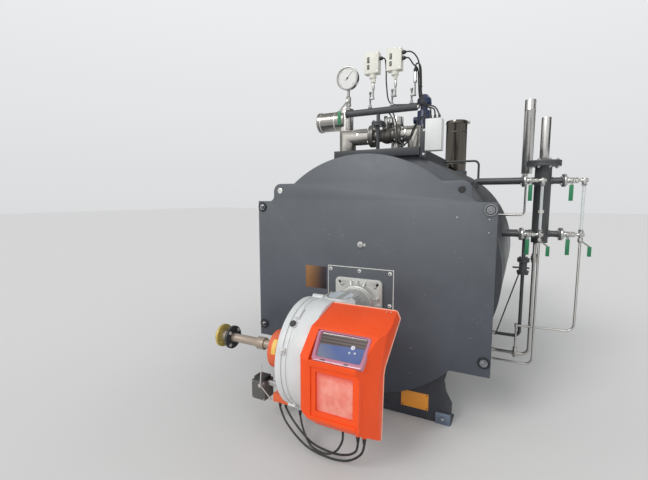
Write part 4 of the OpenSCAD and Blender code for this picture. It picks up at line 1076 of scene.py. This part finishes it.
for number in range(31):
    angle = math.radians(first_mark - mark_step * number)
    length, width = (0.012, 0.0016) if number % 5 == 0 else (0.007, 0.0009)
    mark = block("mark", (-length, -0.0004, -width / 2), (0, 0.0004, width / 2), 0.0002, 1)
    outward = Vector((math.cos(angle), 0, math.sin(angle)))
    place = Vector((gauge_x, dial_y - 0.0002, gauge_z)) + outward * (dial_r - 0.004)
    marks.append(moved(mark, place, (0, -angle, 0)))
settle(joined("dial_marks", marks), dial_black)
needle = block("needle", (-0.020, -0.0006, -0.0016), (0.058, 0.0006, 0.0016), 0.0003, 1)
for corner in needle.data.vertices:
    if corner.co.x > 0.05:
        corner.co.z *= 0.25
needle_turn = (0, math.radians(-48), 0)
settle(moved(needle, (gauge_x, dial_y - 0.0030, gauge_z), needle_turn), dial_black)
hub = turned("needle_hub", [(0, 0.006), (0.0038, 0.006), (0.0048, 0.0045)], (gauge_x, dial_y, gauge_z),
             to_front, 24)
settle(hub, dial_black)
cock_nickel = finish("cock_nickel", (0.60, 0.60, 0.58), 0.24, 1.0, dust=0.15, specks=0.2)
rounded("gauge_cock", cock_nickel, width=0.0012)
cock_z = header_z + 0.088
cock_hex = turned("hex", [(0, 0.0205), (0.010, 0.0205), (0.012, 0.018)], sides=6)
hex_places = [(gauge_x, header_y, z) for z in (cock_z - 0.030, cock_z + 0.016)]
fastened("gauge_cock_hexes", cock_hex, hex_places, (0, 0, 1), cock_nickel)


# Pressure switches: white moulded boxes with two dark scale windows each, on white nuts. Black
# glands on their right sides take the leads that are clipped along the header to the junction box.
switch_white = finish("switch_white", (0.80, 0.785, 0.70), 0.42, dust=0.08, specks=0.15)
rounded("pressure_switches", switch_white, width=0.004, segments=3)
switch_face = header_y - 0.030
switch_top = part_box("pressure_switches")[1][2]
switch_half_w = 0.053
slots = []
scales = []
for x in switch_x:
    for top, bottom in ((0.034, 0.074), (0.086, 0.118)):
        slots.append(block("slot", (x - 0.030, switch_face - 0.0012, switch_top - bottom),
                           (x - 0.013, switch_face + 0.002, switch_top - top), 0.0008))
        scales.append(block("scale", (x - 0.0235, switch_face - 0.0018, switch_top - bottom + 0.006),
                            (x - 0.0215, switch_face - 0.001, switch_top - top - 0.006), 0.0002, 1))
settle(joined("switch_slots", slots), dial_black)
settle(joined("switch_scales", scales), switch_white)
line_reach = switch_half_w + 0.0002
lid_lines = [block("lid_line", (x - line_reach, switch_face + 0.012, switch_top - 0.140),
                   (x + line_reach, switch_face + 0.0135, switch_top - 0.006), 0.0003, 1)
             for x in switch_x]
settle(joined("switch_lid_lines", lid_lines), dial_black)
switch_screw = turned("screw", [(0, 0.004), (0.001, 0.0038), (0.0015, 0.002)], sides=12)
fastened("switch_screws", switch_screw,
         [(x + 0.042, switch_face, switch_top - dz) for x in switch_x for dz in (0.012, 0.134)],
         to_front, bright_zinc)
gland_rings = [(0, 0.012), (0.006, 0.012), (0.006, 0.0135), (0.016, 0.0135), (0.018, 0.011),
               (0.024, 0.009)]
gland_black = finish("gland_black", (0.018, 0.018, 0.02), 0.4, dust=0.15)
lead_exits = [(x + switch_half_w, header_y, switch_top - dz)
              for x, dz in ((switch_x[0], 0.045), (switch_x[1], 0.030), (switch_x[1], 0.068))]
glands = [turned("gland", gland_rings, place, axes["x"], 12) for place in lead_exits]
settle(joined("switch_glands", glands), gland_black)


# Pressure transmitter: a turned stainless body on its siphon, with a round black connector at its
# top.
transmitter_steel = finish("transmitter_steel", (0.66, 0.66, 0.65), 0.2, 1.0, dust=0.1, specks=0.1)
rounded("pressure_transmitter", transmitter_steel, width=0.001)
transmitter_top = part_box("pressure_transmitter")[1][2]
connector_x = transmitter_x + 0.008
connector_rings = [(0, 0.0105), (0.003, 0.0125), (0.018, 0.0125), (0.022, 0.009), (0.030, 0.0065)]
connector = turned("transmitter_connector", connector_rings,
                   (connector_x, header_y, transmitter_top - 0.016), sides=24)
settle(connector, gland_black)


# Junction box: a white moulded box with a screwed lid, on a bracket plate beside the deck,
# with three black glands on top for the leads.
box_white = finish("box_white", (0.79, 0.80, 0.785), 0.38, dust=0.1, specks=0.15)
junction = rounded("junction_box", box_white, width=0.004, segments=3)
box_low, box_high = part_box("junction_box")
box_x = 0.353
box_y = box_low[1]
box_w = 0.104
box_h = 0.203
gland_t = 0.028
box_top = box_high[2] - gland_t
tint(junction, gland_black, lambda c: c.z > box_top + 0.0005)
tint(junction, deck_paint, lambda c: c.x < box_x - 0.0005)
bracket_screw = bolt(head_r=0.0055, head_t=0.004, washer_r=0.008, washer_t=0.0015)
fastened("bracket_screws", bracket_screw,
         [(box_x - 0.012, box_y + 0.020, box_low[2] + dz) for dz in (0.020, 0.175)], to_front,
         bright_zinc)
lid_gap = block("lid_gap", (box_x - 0.0004, box_y + 0.020, box_top - box_h + 0.002),
                (box_x + box_w + 0.0004, box_y + 0.0215, box_top + 0.0003), 0.0003, 1)
settle(lid_gap, dial_black)
lid_inset = 0.010
lid_screw = turned("screw", [(0, 0.0045), (0.0008, 0.0045), (0.0012, 0.003)], sides=16)
fastened("lid_screws", lid_screw,
         [(box_x + dx, box_y, box_top - dz) for dx in (lid_inset, box_w - lid_inset)
          for dz in (lid_inset, box_h - lid_inset)], to_front, switch_white)
gland_x = [box_x + dx for dx in (0.024, 0.052, 0.080)]
gland_y = box_y + 0.043
gland_top = box_high[2] - 0.002


# Header leads: black sheathed leads from the switches and the transmitter, tied at the header's end
# and led down to the junction box, and two that loop under the header to the bracket.
lead_d = 0.0095
gland_end = 0.020
header_leads = [
    [(lead_exits[0][0] + gland_end, header_y, lead_exits[0][2]), (0.030, 0.248, lead_exits[0][2] - 0.008),
     (0.032, 0.268, 2.360), (0.034, 0.276, 2.250), (0.060, 0.278, 2.125), (0.160, 0.278, 2.100),
     (0.270, 0.270, 2.095), (0.330, 0.215, 2.060), (0.372, 0.172, 2.030),
     (gland_x[0], gland_y, gland_top)],
    [(lead_exits[1][0] + gland_end, header_y, lead_exits[1][2]), (0.212, 0.236, lead_exits[1][2] - 0.002),
     (0.246, 0.242, 2.412), (0.270, 0.250, 2.360), (0.278, 0.256, 2.270), (0.284, 0.258, 2.160),
     (0.302, 0.240, 2.090), (0.352, 0.200, 2.050), (0.396, 0.172, 2.025),
     (gland_x[1], gland_y, gland_top)],
    [(lead_exits[2][0] + gland_end, header_y, lead_exits[2][2]), (0.204, 0.238, lead_exits[2][2] - 0.006),
     (0.232, 0.246, 2.355), (0.262, 0.256, 2.320), (0.268, 0.264, 2.230), (0.274, 0.266, 2.150),
     (0.296, 0.262, 2.080), (0.330, 0.252, 1.990), (0.340, 0.240, 1.880), (0.336, 0.222, 1.800)],
    [(connector_x, header_y, transmitter_top + 0.010), (0.254, 0.234, transmitter_top + 0.030),
     (0.270, 0.230, transmitter_top + 0.034), (0.288, 0.230, transmitter_top + 0.006),
     (0.294, 0.232, 2.230), (0.298, 0.232, 2.150), (0.330, 0.215, 2.075), (0.400, 0.180, 2.040),
     (gland_x[2], gland_y, gland_top)],
    [(0.060, 0.252, 2.052), (0.082, 0.250, 2.020), (0.104, 0.238, 1.960), (0.114, 0.226, 1.890),
     (0.140, 0.216, 1.822), (0.184, 0.206, 1.802), (0.228, 0.198, 1.850), (0.266, 0.190, 1.930),
     (0.312, 0.186, 1.975), (0.349, 0.190, 1.900)],
]
second_loop = [(x + 0.018, y - 0.004, z + 0.014) for x, y, z in header_leads[-1][:-1]]
header_leads.append(second_loop + [(0.349, 0.176, 1.925)])
for number, route in enumerate(header_leads, 1):
    loop = lead(f"header_lead_{number}", route, lead_d, cable_rubber, 5)
    settle(meshed(loop), cable_rubber)
tie_rings = [(0, 0.006), (0, 0.0125), (0.004, 0.0125), (0.004, 0.006)]
ties = [turned("tie", tie_rings, (0.2835, 0.259, z), sides=16) for z in (2.140, 2.200)]
settle(joined("lead_ties", ties), plug_black)


# Safety valve: a blue-painted cast body on a painted flanged stub, with a nut on each of its four
# studs.
valve_blue = finish("valve_blue", (0.016, 0.030, 0.085), 0.32, dust=0.15)
safety = rounded("safety_valve", valve_blue, width=0.002)
safety_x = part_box("safety_valve")[1][0] - 0.060
seat_z = deck_z + 0.180
tint(safety, header_paint, lambda c: c.z < seat_z)
safety_studs = studs_through("safety_valve_studs", (safety_x, column_y, seat_z + 0.017), "z", 0.052, 4,
                             0.004, 0.007)
settle(safety_studs, bolt_zinc)


# Level set: painted pipes and a level vessel at the boiler's right side, with bolted flanges whose
# studs are bright, and two polished probe tubes.
for node, width in (("level_pipes", 0.0015), ("level_vessel", 0.002), ("blowdown_valve", 0.0015)):
    rounded(node, header_paint, width=width)
probe_sheet = sheet_metal("probe_sheet", (0.62, 0.61, 0.60), 0.22, (6, 6, 0.15))
rounded("probe_tubes", probe_sheet, width=0.001)
gauge_low_z = 1.172
gauge_top_z = 1.572
gauge_zs = (gauge_low_z, gauge_top_z)
level_y = (0.785, 0.905)
flange_x = (0.950, 1.215)
tee_x = (1.070, 1.340)
vessel_x = 1.075
vessel_top = gauge_top_z + 0.150
vessel_studs = studs_through("vessel_studs", (vessel_x, level_y[1], vessel_top - 0.021), "z", 0.096, 8,
                             0.042, 0.012, 22.5)
settle(vessel_studs, bright_zinc)
cock_studs = joined("cock_flange_studs", [
    studs_through("studs", (x - 0.002, y, z), "x", 0.036, 4, 0.028, 0.008)
    for x, y in zip(flange_x, level_y) for z in gauge_zs])
settle(cock_studs, bright_zinc)
blow_x = 0.975
blow_z = gauge_low_z - 0.200
blow_studs = studs_through("blowdown_studs", (blow_x, level_y[1], blow_z - 0.015), "z", 0.034, 4, 0.030,
                           0.008)
settle(blow_studs, bolt_zinc)
tag = block("vessel_tag", (vessel_x - 0.020, level_y[1] - 0.060, 1.330),
            (vessel_x + 0.018, level_y[1] - 0.056, 1.352), 0.0008)
settle(tag, switch_white)


# Level cocks, glasses and levers: nickel-plated cocks with hexagon nuts, clear glass tubes with a
# faint streak, and levers whose grips are dipped in green plastic.
rounded("level_cocks", cock_nickel, width=0.0012)
union_rings = [(0, 0.0215), (0.010, 0.0215), (0.012, 0.019)]
packing_rings = [(0, 0.0185), (0.010, 0.0185), (0.012, 0.016)]
packing_nuts = []
for x, tee, y in zip(flange_x, tee_x, level_y):
    packing_nuts += [turned("nut", union_rings, (x + dx, y, z), axes["x"], 6)
                     for z in gauge_zs for dx in (0.018, 0.056, 0.072)]
    packing_nuts += [turned("nut", packing_rings, (tee, y, z), sides=6)
                     for z in (gauge_low_z + 0.026, gauge_top_z - 0.038)]
settle(joined("packing_nuts", packing_nuts), cock_nickel)
clear_glass = bpy.data.materials.new("clear_glass")
clear_glass.use_nodes = True
glass_tree = clear_glass.node_tree
glass_shader = glass_tree.nodes["Principled BSDF"]
glass_place = glass_tree.nodes.new("ShaderNodeTexCoord").outputs["Object"]
smear = noise(glass_tree, glass_place, 60.0)
glass_colour = mix(glass_tree, spread(glass_tree, smear, 0.4, 0.7), (0.93, 0.97, 0.97, 1),
                   (0.80, 0.84, 0.84, 1))
for socket, value in (("Base Color", glass_colour), ("Transmission Weight", 0.45), ("IOR", 1.47),
                      ("Roughness", spread(glass_tree, smear, 0.3, 0.7, 0.03, 0.12))):
    feed(glass_tree, glass_shader.inputs[socket], value)
paint("gauge_glasses", clear_glass)
lever_steel = finish("lever_steel", (0.30, 0.30, 0.30), 0.35, 0.9)
lever_green = finish("lever_green", (0.020, 0.215, 0.090), 0.38, dust=0.1, specks=0.15)
dip_swell = 1.35
# Each lever's bare steel goes this far down from its top
bare_steel = {"upper_lever_1": 0.047, "upper_lever_2": 0.047, "lower_lever_1": 0.047,
              "lower_lever_2": 0.047, "gauge_cock_lever": 0.077, "drain_lever_1": 0.057,
              "drain_lever_2": 0.057}
for node, bare in bare_steel.items():
    handle = rounded(node, lever_green, width=0.0012)
    grip_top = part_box(node)[1][2] - bare + 0.0003
    tint(handle, lever_steel, lambda c: c.z > grip_top)
    grip = [corner for corner in handle.data.vertices if corner.co.z < grip_top]
    grip_xs = [corner.co.x for corner in grip]
    grip_mid = (min(grip_xs) + max(grip_xs)) / 2
    for corner in grip:
        corner.co.x = grip_mid + (corner.co.x - grip_mid) * dip_swell


# Drain pipes: bare stainless tube from the drain cocks and the vessel, with compression fittings and
# a socket on each end behind the plate.
drain_steel = finish("drain_steel", (0.56, 0.55, 0.53), 0.3, 1.0, dust=0.2, specks=0.3)
rounded("drain_pipes", drain_steel, width=0.001)
end_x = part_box("drain_pipes")[0][0] + 0.004
drain_ends = ((level_y[0], 0.160, 0.0105), (level_y[1], 0.190, 0.0165), (level_y[1], 0.335, 0.0165))
sockets = [turned("socket", [(0, r), (0.034, r), (0.038, r - 0.003)], (end_x, y, z), (-1, 0, 0), 24)
           for y, z, r in drain_ends]
settle(joined("drain_sockets", sockets), drain_steel)
